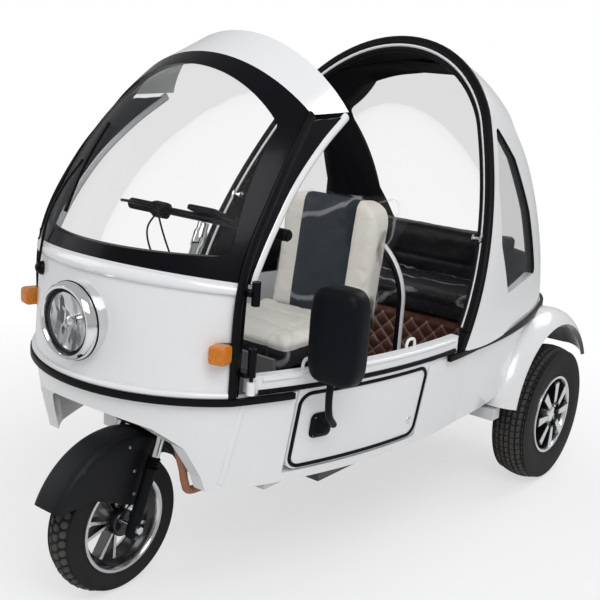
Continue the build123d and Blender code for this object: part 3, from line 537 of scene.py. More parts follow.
chrome = finish("chrome_plate", (0.78, 0.79, 0.80), 0.07, metallic=1.0, mottle=0.05, mottle_scale=12)
lamp_low, lamp_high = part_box("headlamp_bezel")
lamp_face = lamp_high.x
lamp_r = (lamp_high.y - lamp_low.y) / 2
lamp_mid = Vector((lamp_face, 0, (lamp_low.z + lamp_high.z) / 2))
rim_profile = [(lamp_r - 0.002, -0.075), (lamp_r, -0.040), (lamp_r, -0.022), (lamp_r - 0.003, -0.008),
               (lamp_r - 0.009, -0.001), (lamp_r - 0.015, -0.002), (lamp_r - 0.019, -0.010),
               (lamp_r - 0.020, -0.020)]
lamp_rim = piece("headlamp_rim", *turned(rim_profile, lamp_mid, to_front, 96), chrome, "chassis", "chrome")
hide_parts("headlamp_bezel")
glass_r = lamp_r - 0.020
gasket = [(glass_r + 0.002, -0.018), (glass_r + 0.001, -0.010), (glass_r - 0.005, -0.009),
          (glass_r - 0.006, -0.018)]
band = [(lamp_r - 0.001, -0.030), (lamp_r + 0.0015, -0.029), (lamp_r + 0.0015, -0.025),
        (lamp_r - 0.001, -0.024)]
for rubber_ring, section in (("headlamp_gasket", gasket), ("headlamp_band", band)):
    piece(rubber_ring, *turned(section, lamp_mid, to_front, 96, closed=True), black_rubber, "chassis",
          "black_rubber")
reflector = finish("lamp_reflector", (0.80, 0.81, 0.82), 0.10, metallic=1.0, mottle=0.05, mottle_scale=12)
# Painted reflection: the reflector's colour is darkened cell by cell into light and dark facets.
reflector_tree = reflector.node_tree
facet_size = add(reflector_tree, "ShaderNodeMapping", {
    "Vector": add(reflector_tree, "ShaderNodeTexCoord").outputs["Object"], "Rotation": (0.3, 0, 0),
    "Scale": (1, 78, 26)})
painted_reflection_cells = add(reflector_tree, "ShaderNodeTexVoronoi", {"Vector": facet_size.outputs["Vector"], "Scale": 1.0},
             distance="CHEBYCHEV")
painted_reflection_tone = add(reflector_tree, "ShaderNodeMapRange", {
    "Value": painted_reflection_cells.outputs["Color"], "From Min": 0.15, "From Max": 0.70, "To Min": 0.07})
repaint(reflector, 1.0, painted_reflection_tone.outputs["Result"], blend="MULTIPLY")
dish_depth, dish_rise, dish_rings = -0.033, 0.016, 8
dish_shares = [k / dish_rings for k in range(1, dish_rings + 1)]
dish = [(0.003, dish_depth)]
dish += [(glass_r * share, dish_depth + dish_rise * share ** 2) for share in dish_shares]
piece("headlamp_reflector", *turned(dish, lamp_mid, to_front, 18), reflector, "chassis", "chrome", crease=8)
cap_profile = [(0.0005, -0.014), (0.009, -0.015), (0.013, -0.019), (0.013, -0.031)]
piece("headlamp_bulb_cap", *turned(cap_profile, lamp_mid, to_front, 24), chrome, "chassis", "chrome")
lamp_glass = clear("lamp_glass", (0.75, 0.78, 0.80), 0.05, roughness=0.08)
flute_pitch, flute_depth = 0.0105, 0.0012
lens_rings, lens_steps = 24, 96
glass_rings = []
for k in range(1, lens_rings + 1):
    r = glass_r * k / lens_rings
    ring = []
    for step in range(lens_steps):
        turn = 2 * pi * step / lens_steps
        y, z = r * cos(turn), r * sin(turn)
        flute = flute_depth * abs(sin(pi * y / flute_pitch)) * (r < glass_r * 0.93)
        ring.append(lamp_mid + Vector((-0.012 + 0.011 * (1 - (r / glass_r) ** 2) - flute, y, z)))
    glass_rings.append(ring)
lens_points, lens_faces = skin(glass_rings, caps=False)
lens_faces.append(tuple(range(lens_steps)))
lamp_lens = piece("headlamp_glass", lens_points, lens_faces, lamp_glass, "chassis", "lamp_lens", crease=180)
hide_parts("headlamp_lens")


# Turn signals: amber ribbed lenses set on black moulded feet at the nose's corners. The lens and
# its ridges are one moulding.
def tinted_lens(name, colour, rib_scale):
    """Coloured translucent moulding with fine prisms, each painted darker at its middle as painted shade.
    """
    material, tree, shader = surface(name, {"Transmission Weight": 0.25, "Roughness": 0.14})
    place = add(tree, "ShaderNodeTexCoord").outputs["Object"]
    prisms = add(tree, "ShaderNodeTexVoronoi", {"Vector": place, "Scale": rib_scale}).outputs["Distance"]
    # Painted shade and light: each prism's colour runs from dark at its middle to full at its edge.
    tone = add(tree, "ShaderNodeMix", {
        "Factor": prisms, "A": (*[c * 0.55 for c in colour], 1), "B": (*colour, 1)}, data_type="RGBA")
    tree.links.new(tone.outputs["Result"], shader.inputs["Base Color"])
    bump = add(tree, "ShaderNodeBump", {"Height": prisms, "Strength": 0.4, "Distance": 0.002})
    tree.links.new(bump.outputs["Normal"], shader.inputs["Normal"])
    return material


def pillow_rings(centre, out, across, up, stations, power=4.0, count=40):
    """Rings of a rounded block along out: each station is (distance, half width, half height)."""
    rings = []
    for distance, half_w, half_h in stations:
        ring = []
        for k in range(count):
            c, s = cos(2 * pi * k / count), sin(2 * pi * k / count)
            bulge = (abs(c) ** power + abs(s) ** power) ** (-1 / power)
            ring.append(centre + out * distance + across * (c * bulge * half_w) + up * (s * bulge * half_h))
        rings.append(ring)
    return rings


amber = tinted_lens("amber_lens", (0.95, 0.30, 0.015), 260)
black_plastic = finish("black_plastic", (0.005, 0.006, 0.008), 0.42, mottle=0.2, mottle_scale=15,
                       grain=0.18, grain_scale=900, shine=0.09)
dress(black_plastic, "signal_bases")
signal_angle = radians(14)
lens_parts = []
for side in (1, -1):
    out = Vector((cos(signal_angle), side * sin(signal_angle), 0))
    across = to_top.cross(out)
    root = Vector((0.866, side * 0.354, 0.762))
    ridges = [(0.0135, 0.0235, 0.0235)]
    for k in range(5):
        start = 0.017 + 0.006 * k
        ridges += [(start, 0.0235, 0.0235), (start + 0.003, 0.0228, 0.0235),
                   (start + 0.0045, 0.0228, 0.0235)]
    ridges += [(0.050, 0.0215, 0.0220), (0.0535, 0.018, 0.0185), (0.0540, 0.010, 0.010)]
    lens_parts.append(skin(pillow_rings(root, out, across, to_top, ridges, power=7)))
signal_glass = piece("signal_glass", *joined(*lens_parts), amber, "chassis", "amber_lens", crease=25)
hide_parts("signal_lenses")

# Tail lamps and plate: round red lenses in chromed rings on the tail, and a bare white plate held by
# screws on its bracket.
# The red lens's prisms carry the same painted shade.
red = tinted_lens("red_lens", (0.65, 0.015, 0.015), 300)
dress(red, "tail_lamps")
dress(white_tube, "plate_bracket")
tail_low, tail_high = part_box("tail_lamps")
tail_r = (tail_high.z - tail_low.z) / 2
tail_rims = []
for side in (1, -1):
    lamp_spot = Vector((tail_low.x, side * (tail_high.y - tail_r), (tail_low.z + tail_high.z) / 2))
    ring = [(tail_r - 0.002, 0.0025), (tail_r + 0.004, 0.002), (tail_r + 0.006, -0.004),
            (tail_r + 0.005, -0.020), (tail_r - 0.001, -0.020)]
    tail_rims.append(turned(ring, lamp_spot, (-1, 0, 0), 48, closed=True))
piece("tail_lamp_rims", *joined(*tail_rims), chrome, "chassis", "chrome")

# Mirror: a deep black moulded shell on a bent stalk, with silvered glass set in its back. Its foot is
# screwed to the half-door.
mirror_mid = Vector((0.672, 0.543, 0.808))
half_t, half_w, half_h = 0.033, 0.075, 0.125
shell_stations = [(share * half_t, scale * half_w, scale_h * half_h) for share, scale, scale_h in (
    (-1.0, 0.30, 0.42), (-0.98, 0.62, 0.74), (-0.90, 0.80, 0.88), (-0.70, 0.92, 0.955),
    (-0.35, 0.985, 0.99), (0.10, 1.0, 1.0), (0.70, 1.0, 1.0), (0.92, 0.99, 0.99),
    (1.0, 0.96, 0.97), (1.0, 0.90, 0.93), (0.86, 0.885, 0.92))]
shell_rings = pillow_rings(mirror_mid, -to_front, to_left, to_top, shell_stations, power=4.5, count=56)
stalk_line = smooth_line([(0.668, 0.533, 0.690), (0.667, 0.530, 0.640), (0.652, 0.524, 0.590),
                          (0.612, 0.512, 0.552)], 20)
stalk = bead(stalk_line, [to_front] * 20, 0.019, 0.0095, sides=14)
foot_hits, foot_outs = from_side(panel_tree("door_left"), 1, [(0.592, 0.532)])
foot_mid, foot_out = foot_hits[0], foot_outs[0]
foot_along = to_top.cross(foot_out).normalized()
foot_up = foot_out.cross(foot_along)
foot_stations = ((-0.004, 0.034, 0.036), (0.005, 0.034, 0.036), (0.008, 0.032, 0.034),
                 (0.010, 0.020, 0.024), (0.024, 0.015, 0.018), (0.029, 0.011, 0.014),
                 (0.030, 0.004, 0.004))
foot = skin(pillow_rings(foot_mid, foot_out, foot_along, foot_up, foot_stations, power=5))
mirror_shell = piece("mirror_shell", *joined(skin(shell_rings), stalk, foot), black_plastic, "door_left",
                     "black_plastic", crease=50)
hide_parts("door_mirror")
silvered = finish("silvered_glass", (0.80, 0.82, 0.84), 0.02, metallic=1.0, mottle=0.01)
glass_stations = ((0.80 * half_t, 0.885 * half_w, 0.92 * half_h),
                  (0.90 * half_t, 0.88 * half_w, 0.915 * half_h))
glass_ring = pillow_rings(mirror_mid, -to_front, to_left, to_top, glass_stations, 4.5, 56)
piece("mirror_glass", *skin(glass_ring), silvered, "door_left", "chrome")


# Small screws: bright steel pan heads, driven through the mirror's foot into the door and through the
# number plate into its bracket.
def baked(obj):
    """Give an object the mesh that its modifiers make."""
    graph = bpy.context.evaluated_depsgraph_get()
    mesh = bpy.data.meshes.new_from_object(obj.evaluated_get(graph))
    obj.modifiers.clear()
    obj.data = mesh


def grown(name, mesh, sizes, copies, material, body):
    """Copies of a unit set on points by Geometry Nodes. sizes is {input: (socket kind, value)}, and copies
    builds the points, the unit and its turn from the tree and its inputs."""
    obj = placed(name, mesh)
    tree = bpy.data.node_groups.new(name, "GeometryNodeTree")
    tree.interface.new_socket("Geometry", in_out="INPUT", socket_type="NodeSocketGeometry")
    sockets = [tree.interface.new_socket(size, in_out="INPUT", socket_type=kind)
               for size, (kind, _) in sizes.items()]
    tree.interface.new_socket("Geometry", in_out="OUTPUT", socket_type="NodeSocketGeometry")
    inlet = add(tree, "NodeGroupInput").outputs
    copied = add(tree, "GeometryNodeInstanceOnPoints", copies(tree, inlet))
    real = add(tree, "GeometryNodeRealizeInstances", {"Geometry": copied.outputs["Instances"]})
    paint = add(tree, "GeometryNodeSetMaterial",
                {"Geometry": real.outputs["Geometry"], "Material": material})
    add(tree, "NodeGroupOutput", {"Geometry": paint.outputs["Geometry"]})
    grow = obj.modifiers.new("copies", "NODES")
    grow.node_group = tree
    for socket, (_, value) in zip(sockets, sizes.values()):
        grow[socket.identifier] = value
    baked(obj)
    smoothed(obj.data, 35)
    return mounted(obj, body)


def screw_heads(name, places, out, radius, material, body):
    """Domed heads set on a surface at the given places."""
    def heads(tree, inlet):
        ball = add(tree, "GeometryNodeMeshUVSphere", {
            "Segments": 14, "Rings": 8, "Radius": inlet["Head radius"]})
        dome = add(tree, "GeometryNodeTransform", {
            "Geometry": ball.outputs["Mesh"], "Scale": (1, 1, 0.55),
            "Rotation": Vector(out).to_track_quat("Z", "Y").to_euler()})
        return {"Points": inlet["Geometry"], "Instance": dome.outputs["Geometry"]}

    mesh = bpy.data.meshes.new(name)
    mesh.from_pydata([tuple(p) for p in places], [], [])
    return grown(name, mesh, {"Head radius": ("NodeSocketFloat", radius)}, heads, material, body)


four_corners = [(a, b) for a in (1, -1) for b in (1, -1)]
foot_screws = [foot_mid + foot_out * 0.006 + foot_along * (0.024 * a) + foot_up * (0.026 * b)
               for a, b in four_corners]
screw_heads("mirror_foot_screws", foot_screws, foot_out, 0.005, chrome, "door_left")
plate_low, plate_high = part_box("plate_bracket")
plate_mid_z = (plate_low.z + plate_high.z) / 2
plate_screws = [(plate_low.x - 0.001, 0.090 * a, plate_mid_z + 0.035 * b) for a, b in four_corners]
screw_heads("plate_screws", plate_screws, -to_front, 0.006, chrome, "chassis")


# Wheels: black tubeless tyres with moulded blocks on cast alloy rims. Rims are black with bright
# machined faces and lips; the rear ones have more spokes and a bolted cap.
def round_the_hub(name, unit, count, radius, centre, material, body):
    """Copies of one unit set round a wheel, facing outward."""
    def ring(tree, inlet):
        circle = add(tree, "GeometryNodeMeshCircle",
                     {"Vertices": inlet["Count"], "Radius": inlet["Radius"]})
        upright = add(tree, "GeometryNodeTransform", {
            "Geometry": circle.outputs["Mesh"], "Rotation": (pi / 2, 0, 0)})
        where = add(tree, "GeometryNodeInputPosition").outputs["Position"]
        outward = add(tree, "FunctionNodeAlignRotationToVector", {"Vector": where}, axis="Z",
                      pivot_axis="Y")
        return {"Points": upright.outputs["Geometry"], "Instance": inlet["Geometry"],
                "Rotation": outward.outputs["Rotation"]}

    mesh = bpy.data.meshes.new(name)
    mesh.from_pydata([tuple(p) for p in unit[0]], [], unit[1])
    shell = bmesh.new()
    shell.from_mesh(mesh)
    bmesh.ops.recalc_face_normals(shell, faces=shell.faces)
    shell.to_mesh(mesh)
    shell.free()
    sizes = {"Count": ("NodeSocketInt", count), "Radius": ("NodeSocketFloat", radius)}
    obj = grown(name, mesh, sizes, ring, material, body)
    obj.data.transform(Matrix.Translation(centre))
    return obj


def slab(outline, y0, y1, taper=1.0):
    """Prism from an (x, z) outline between two widths; its far face is scaled by taper about the middle."""
    mid_x = sum(x for x, _ in outline) / len(outline)
    mid_z = sum(z for _, z in outline) / len(outline)
    near = [Vector((x, y0, z)) for x, z in outline]
    far = [Vector((mid_x + (x - mid_x) * taper, y1, mid_z + (z - mid_z) * taper)) for x, z in outline]
    return skin([near, far])


def tread_block(x0, x1, y0, y1, bevel, top, crown, skew=0.0):
    """One rubber block standing out of the tread, its top following the crown; skew slants it."""
    def lift(y):
        return top - crown * y * y
    base = [(x0, y0), (x1, y0), (x1, y1), (x0, y1)]
    low = [Vector((x + skew * (y - y0), y, lift(y) - 0.010)) for x, y in base]
    inset = [(x0 + bevel, y0 + bevel), (x1 - bevel, y0 + bevel), (x1 - bevel, y1 - bevel),
             (x0 + bevel, y1 - bevel)]
    high = [Vector((x + skew * (y - y0), y, lift(y))) for x, y in inset]
    return skin([low, high])


tyre_rubber = finish("tyre_rubber", (0.010, 0.010, 0.011), 0.66, mottle=0.3, mottle_scale=25, grain=0.25,
                     grain_scale=500, dust=((0.04, 0.038, 0.035), 0.4), shine=0.2)
tread_rubber = finish("tread_rubber", (0.030, 0.029, 0.029), 0.8, mottle=0.3, mottle_scale=25, grain=0.25,
                      grain_scale=500, dust=((0.16, 0.15, 0.135), 0.5))
rim_black = finish("rim_black", (0.006, 0.006, 0.008), 0.28, mottle=0.2, mottle_scale=20, coat=0.3)
rim_machined = finish("rim_machined", (0.70, 0.71, 0.72), 0.22, metallic=1.0, mottle=0.10, mottle_scale=60)
front_hub = Vector((0.895, 0, 0.203))
rear_hub_left, rear_hub_right = Vector((-0.729, 0.5, 0.25)), Vector((-0.729, -0.5, 0.25))
groove, shoulder_gap = 0.0065, 0.001
wheels = (
    ("front", "front_wheel", "front_tyre", "front_rim", front_hub, 0),
    ("rear_left", "rear_wheel_left", "rear_tyre_left", "rear_rim_left", rear_hub_left, 1),
    ("rear_right", "rear_wheel_right", "rear_tyre_right", "rear_rim_right", rear_hub_right, -1),
)
for wheel, body, tyre_node, rim_node, hub, outside in wheels:
    tyre_low, tyre_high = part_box(tyre_node)
    rim_low, rim_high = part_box(rim_node)
    tyre_r, half_w = (tyre_high.z - tyre_low.z) / 2, (tyre_high.y - tyre_low.y) / 2
    rim_r, rim_half = (rim_high.z - rim_low.z) / 2, (rim_high.y - rim_low.y) / 2
    shown_sides = (outside,) if outside else (1, -1)
    tread_half = half_w * 0.80
    crown_drop = 0.010 / tread_half ** 2
    carcass = [(rim_r - 0.004, -rim_half + 0.006)]
    for k in range(9):
        share = k / 8
        swell = sin(pi * min(1, share * 1.25) / 2) * (1 - 0.20 * max(0, share - 0.55) / 0.45)
        carcass.append((rim_r + (tyre_r - 0.012 - rim_r) * share,
                        -(rim_half - 0.004 + (half_w - rim_half + 0.004) * swell)))
    carcass += [(tyre_r - groove - crown_drop * y * y, y) for y in
                (tread_half * s for s in (-0.98, -0.7, -0.35, 0, 0.35, 0.7, 0.98))]
    carcass += [(r, -y) for r, y in reversed(carcass[:10])]
    tyre = piece(f"{wheel}_carcass", *turned(carcass, hub, to_left, 120), tyre_rubber, body, "tyre_rubber",
                 crease=60)
    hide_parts(tyre_node)
    blocks = []
    slices = 64 if outside else 46
    arc = 2 * pi * tyre_r / slices
    if outside:
        rib = tread_half * 2 / 5
        for row in range(5):
            y0 = -tread_half + rib * row + 0.0035
            slant = 0.25 * (1 if row % 2 else -1)
            blocks.append(tread_block(-arc * 0.46, arc * 0.40, y0, y0 + rib - 0.007, 0.001, 0.0, crown_drop,
                                      slant))
        shoulder, shoulder_drop, back, fore = 0.955, -0.002, 0.36, 0.30
    else:
        row_w = tread_half * 2 / 3
        for row in range(3):
            y0 = -tread_half + row_w * row + 0.002
            shift = arc * (0.5 if row == 1 else 0.0)
            hexagon = [(shift - arc * 0.40, 0.5), (shift - arc * 0.24, 0.06), (shift + arc * 0.24, 0.06),
                       (shift + arc * 0.40, 0.5), (shift + arc * 0.24, 0.94), (shift - arc * 0.24, 0.94)]
            lows, tops = [], []
            for x, w in hexagon:
                drop = -crown_drop * (y0 + w * row_w) ** 2
                lows.append(Vector((x, y0 + w * (row_w - 0.004), drop - 0.009)))
                inset_w = 0.5 + (w - 0.5) * 0.88
                tops.append(Vector((shift + (x - shift) * 0.86, y0 + inset_w * (row_w - 0.004), drop)))
            blocks.append(skin([lows, tops]))
        shoulder, shoulder_drop, back, fore = 0.93, -0.003, 0.34, 0.26
    for side in (1, -1):
        y0, y1 = sorted((side * (tread_half + shoulder_gap), side * (half_w * shoulder)))
        blocks.append(tread_block(-arc * back, arc * fore, y0, y1, 0.0015, shoulder_drop, crown_drop))
    round_the_hub(f"{wheel}_tread", joined(*blocks), slices, tyre_r, hub, tread_rubber, body)

    # rim barrel, bright lips, spokes and hub of this wheel
    barrel = [(rim_r - 0.001, -rim_half), (rim_r - 0.010, -rim_half + 0.002),
              (rim_r - 0.014, -rim_half + 0.016), (rim_r - 0.026, -rim_half * 0.4),
              (rim_r - 0.026, rim_half * 0.4), (rim_r - 0.014, rim_half - 0.016),
              (rim_r - 0.010, rim_half - 0.002), (rim_r - 0.001, rim_half),
              (rim_r - 0.004, rim_half - 0.006), (rim_r - 0.018, 0), (rim_r - 0.004, -rim_half + 0.006)]
    rim_barrel = piece(f"{wheel}_rim_barrel", *turned(barrel, hub, to_left, 96, closed=True), rim_black,
                       body, "rim_alloy")
    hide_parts(rim_node)
    lips = []
    for side in shown_sides:
        lip = [(rim_r + 0.001, side * (rim_half - 0.003)), (rim_r, side * (rim_half + 0.0012)),
               (rim_r - 0.008, side * (rim_half + 0.0012)), (rim_r - 0.012, side * (rim_half - 0.004)),
               (rim_r - 0.014, side * (rim_half - 0.012))]
        lips.append(turned(lip, hub, to_left, 96))
    piece(f"{wheel}_rim_lip", *joined(*lips), rim_machined, body, "rim_alloy")
    arms = 8 if outside else 5
    hub_r = 0.050 if outside else 0.038
    arm_out = rim_r - 0.020
    spoke_half = 0.016
    face_y = (rim_half - 0.010) * outside if outside else 0.0
    flare, root, broad_half = 0.034, 0.010, 0.017
    legs, faces_bright = [], []
    arm_in = hub_r - 0.006 - arm_out
    arm_sides = [((lean * 0.001, lean * root), (lean * flare, lean * (flare - 0.013))) for lean in (1, -1)]
    if outside:
        arm_sides = [((-root, root), (broad_half, -broad_half))]
    for (a, b), (c, d) in arm_sides:
        legs.append(slab([(a, arm_in), (b, arm_in), (c, 0.0), (d, 0.0)], face_y - spoke_half,
                         face_y + spoke_half))
        trim = 0.06 * (b - a), 0.06 * (d - c)
        shown = [(a + trim[0], arm_in + 0.006), (b - trim[0], arm_in + 0.006), (c + trim[1], -0.002),
                 (d - trim[1], -0.002)]
        for side in shown_sides:
            y_face = face_y + side * spoke_half
            faces_bright.append(slab(shown, y_face - side * 0.001, y_face + side * 0.0012, 0.97))
    round_the_hub(f"{wheel}_spokes", joined(*legs), arms, arm_out, hub, rim_black, body)
    round_the_hub(f"{wheel}_spoke_faces", joined(*faces_bright), arms, arm_out, hub, rim_machined, body)
    boss_half, bore_r = (0.052, 0.0165) if outside else (0.046, 0.0085)
    boss = [(bore_r, -boss_half), (hub_r - 0.004, -boss_half), (hub_r, -boss_half + 0.005),
            (hub_r, boss_half - 0.005), (hub_r - 0.004, boss_half), (bore_r, boss_half)]
    piece(f"{wheel}_hub", *turned(boss, hub, to_left, 48, closed=True), rim_black, body, "rim_alloy")
    if outside:
        cap_y = outside * boss_half
        cap = [(0.0005, cap_y + outside * 0.008), (0.022, cap_y + outside * 0.007),
               (0.030, cap_y + outside * 0.003), (0.032, cap_y)]
        piece(f"{wheel}_cap", *turned(cap, hub, to_left, 40), chrome, body, "chrome")
        nut_turns = [2 * pi * k / 5 for k in range(5)]
        nuts = [hub + Vector((0.041 * cos(turn), cap_y, 0.041 * sin(turn))) for turn in nut_turns]
        screw_heads(f"{wheel}_nuts", nuts, (0, outside, 0), 0.0065, chrome, body)

# Fork: chromed tubes in black sliders with rubber boots, joined by a pressed crown. A chromed stem runs
# up from the crown to the bar, and a nut on each side holds the axle.
rake = radians(21.3)
steer_up = Vector((-sin(rake), 0, cos(rake)))
steer_ahead = Vector((cos(rake), 0, sin(rake)))
fork_y = 0.078
slider_profile = [(0.0005, -0.030), (0.012, -0.029), (0.017, -0.022), (0.017, 0.020), (0.0195, 0.028),
                  (0.0195, 0.038), (0.017, 0.046), (0.017, 0.150), (0.0195, 0.154), (0.0195, 0.166),
                  (0.013, 0.167)]
boot_profile = [(0.0150, 0.167)]
for k in range(4):
    boot_profile += [(0.0195, 0.170 + 0.008 * k), (0.0160, 0.174 + 0.008 * k)]
tube_profile = [(0.0135, 0.160), (0.0135, 0.300)]
leg_bases = [front_hub + Vector((0, side * fork_y, 0)) for side in (1, -1)]
slider_pair, boot_pair, tube_pair = [[turned(profile, base, steer_up, 28) for base in leg_bases]
                                     for profile in (slider_profile, boot_profile, tube_profile)]
sliders = piece("fork_sliders", *joined(*slider_pair), black_plastic, "steering", "black_plastic")
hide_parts("fork")
piece("fork_boots", *joined(*boot_pair), black_rubber, "steering", "black_rubber")
stem_profile = [(0.0160, 0.285), (0.0160, 0.780), (0.0195, 0.786), (0.0195, 0.826), (0.0160, 0.832),
                (0.0160, 0.853), (0.0005, 0.854)]
stem = turned(stem_profile, front_hub, steer_up, 32)
piece("fork_tubes", *joined(*tube_pair, stem), chrome, "steering", "chrome")
crown_stations = ((0.2585, 0.088, 0.026), (0.262, 0.094, 0.032), (0.284, 0.094, 0.032),
                  (0.288, 0.088, 0.026))
crown_rings = pillow_rings(front_hub, steer_up, to_left, steer_ahead, crown_stations, 3.5)
piece("fork_crown", *skin(crown_rings), black_enamel, "steering", "black_paint")
axle_nut = [(0.0005, 0.108), (0.011, 0.107), (0.0125, 0.103), (0.0125, 0.094)]
pin = [(0.008, -0.094), (0.008, 0.094)]
axle_parts = [turned(axle_nut, front_hub, to_left, 6), turned(axle_nut, front_hub, -to_left, 6),
              turned(pin, front_hub, to_left, 24)]
piece("front_axle_nuts", *joined(*axle_parts), chrome, "steering", "chrome", crease=30)


# Front mudguard: one black moulding close over the tyre, with deep side skirts screwed to the fork legs
# and a raised crease that runs forward along each skirt.
def eased(share):
    """Smooth step from 0 to 1."""
    share = min(1.0, max(0.0, share))
    return share * share * (3 - 2 * share)


guard_r, guard_half, guard_thick = 0.258, 0.054, 0.0035
guard_front, guard_rear = 24, 152
skirt_front, skirt_knee = Vector((1.120, 0, 0.304)), Vector((1.009, 0, 0.308))
skirt_heel = Vector((0.868, 0, 0.250))
skirt_rear_turn, shortest_skirt = 123, 0.229


def skirt_foot(turn):
    """Radius at which a line from the hub at this angle meets the skirt's lower edge."""
    spoke = Vector((cos(radians(turn)), 0, sin(radians(turn))))
    for a, b in ((skirt_front, skirt_knee), (skirt_knee, skirt_heel)):
        run, normal = b - a, Vector((-(b - a).z, 0, (b - a).x))
        reach = (a - front_hub).dot(normal) / spoke.dot(normal)
        along = (front_hub + spoke * reach - a).dot(run) / run.length_squared
        if reach > 0 and -0.001 <= along <= 1.001:
            return min(shortest_skirt, reach)
    return shortest_skirt


guard_plastic = finish("guard_plastic", (0.006, 0.007, 0.009), 0.5, mottle=0.25, mottle_scale=14, grain=0.2,
                       grain_scale=700, dust=((0.03, 0.028, 0.026), 0.45), shine=0.2)
guard_rings = []
for k in range(129):
    turn = guard_front + (guard_rear - guard_front) * k / 128
    foot_r = skirt_foot(min(turn, skirt_rear_turn))
    foot_r += (shortest_skirt - foot_r) * eased((turn - skirt_rear_turn) / 5)
    crease_r = 0.247 - 0.042 * eased((turn - 40) / 60)
    crease_h = 0.0035 * eased((turn - 32) / 10) * (1 - eased((turn - 96) / 10))
    skirt = []
    for step in range(12):
        r = foot_r + (guard_r - 0.016 - foot_r) * step / 11
        skirt.append((guard_half - 0.0035 + crease_h * max(0.0, 1 - abs(r - crease_r) / 0.010), r))
    crown = [(guard_half - 0.006, guard_r - 0.008), (guard_half - 0.015, guard_r - 0.0025),
             (guard_half * 0.45, guard_r - 0.0005), (0.0, guard_r)]
    half = skirt + crown
    outside = half + [(-y, r) for y, r in reversed(half[:-1])]
    inner_half = [(y - guard_thick, r) for y, r in skirt] + [(y * 0.94, r - guard_thick) for y, r in crown]
    inside = inner_half + [(-y, r) for y, r in reversed(inner_half[:-1])]
    spoke = Vector((cos(radians(turn)), 0, sin(radians(turn))))
    guard_rings.append([front_hub + spoke * r + Vector((0, y, 0)) for y, r in outside + inside[::-1]])
guard = piece("mudguard_shell", *skin(guard_rings), guard_plastic, "steering", "black_plastic", crease=50)
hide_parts("front_mudguard")
for side, word in both_sides:
    bolts = [front_hub + Vector((r * cos(radians(turn)), side * (guard_half - 0.003),
                                 r * sin(radians(turn))))
             for turn, r in ((100, 0.150), (108, 0.085), (92, 0.222))]
    screw_heads(f"mudguard_bolts_{word}", bolts, (0, side, 0), 0.0055, grey_steel, "steering")

# Bar controls: ribbed rubber grips, switch housings and lever brackets clamped inboard of them, cast
# levers ahead of the grips, a thin instrument panel on the bar and two control cables to the stem.
grip_low, grip_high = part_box("grips")
bar_mid = Vector(((grip_low.x + grip_high.x) / 2, 0, (grip_low.z + grip_high.z) / 2))
grip_start, grip_end = 0.200, grip_high.y
grip_profile = [(0.0118, grip_start), (0.0205, grip_start), (0.0205, grip_start + 0.004)]
for k in range(14):
    grip_profile += [(0.0166, grip_start + 0.008 + 0.0062 * k), (0.0150, grip_start + 0.011 + 0.0062 * k)]
grip_profile += [(0.0166, grip_end - 0.006), (0.0130, grip_end - 0.001), (0.0005, grip_end)]
grip_pair = [turned(grip_profile, bar_mid, (0, side, 0), 32) for side in (1, -1)]
grip_rubber = piece("grip_rubber", *joined(*grip_pair), black_rubber, "steering", "black_rubber")
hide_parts("grips")


def bar_spot(ahead, across, below):
    """Place near the bar's middle: ahead of it, to the left, and below it along the stem."""
    return bar_mid + steer_ahead * ahead + Vector((0, across, 0)) - steer_up * below


switch_stations = ((-0.023, 0.016, 0.018), (-0.020, 0.020, 0.023), (0.019, 0.021, 0.024),
                   (0.023, 0.017, 0.020))
bracket_stations = ((-0.016, 0.011, 0.010), (-0.013, 0.014, 0.013), (0.022, 0.014, 0.013),
                    (0.026, 0.010, 0.010))
housings, levers = [], []
for side in (1, -1):
    sideways = Vector((0, side, 0))
    for spot, stations in ((bar_spot(0, side * 0.172, 0.002), switch_stations),
                           (bar_spot(0.024, side * 0.150, 0), bracket_stations)):
        housings.append(skin(pillow_rings(spot, sideways, steer_ahead, steer_up, stations, power=3)))
    lever_line = smooth_line([bar_spot(ahead, side * across, 0.004) for ahead, across in (
        (0.028, 0.158), (0.046, 0.186), (0.056, 0.222), (0.054, 0.262), (0.046, 0.294))], 26)
    levers.append(bead(lever_line, [steer_up] * 26, 0.011, 0.0045))
piece("switch_housings", *joined(*housings), black_plastic, "steering", "black_plastic")
piece("brake_levers", *joined(*levers), black_enamel, "steering", "black_paint")
panel_foot = bar_spot(0, 0, -0.0113)
panel = piece("instrument_case", *skin(pillow_rings(panel_foot, steer_up, to_left, steer_ahead, (
    (0.0, 0.050, 0.027), (0.002, 0.0545, 0.0315), (0.012, 0.055, 0.032), (0.016, 0.051, 0.029)), power=8)),
    black_plastic, "steering", "black_plastic")
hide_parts("display")
panel_glass = finish("panel_glass", (0.012, 0.016, 0.022), 0.06, mottle=0.1, coat=0.5)
piece("instrument_face", *skin(pillow_rings(panel_foot, steer_up, to_left, steer_ahead, (
    (0.0155, 0.047, 0.025), (0.0166, 0.0465, 0.0245)), power=10)), panel_glass, "steering", "black_plastic")
cable_diameter = 0.0055
cable_routes = (
    ("brake_cable",
     ((0.036, -0.150, 0.0), (0.058, -0.130, 0.012), (0.072, -0.096, 0.042), (0.069, -0.062, 0.086),
      (0.050, -0.036, 0.130), (0.030, -0.020, 0.175), (0.0205, -0.008, 0.218))),
    ("switch_cable",
     ((0.022, -0.166, 0.020), (0.048, -0.156, 0.046), (0.078, -0.128, 0.080), (0.088, -0.088, 0.124),
      (0.070, -0.050, 0.170), (0.040, -0.022, 0.212), (0.0205, 0.004, 0.256))),
)
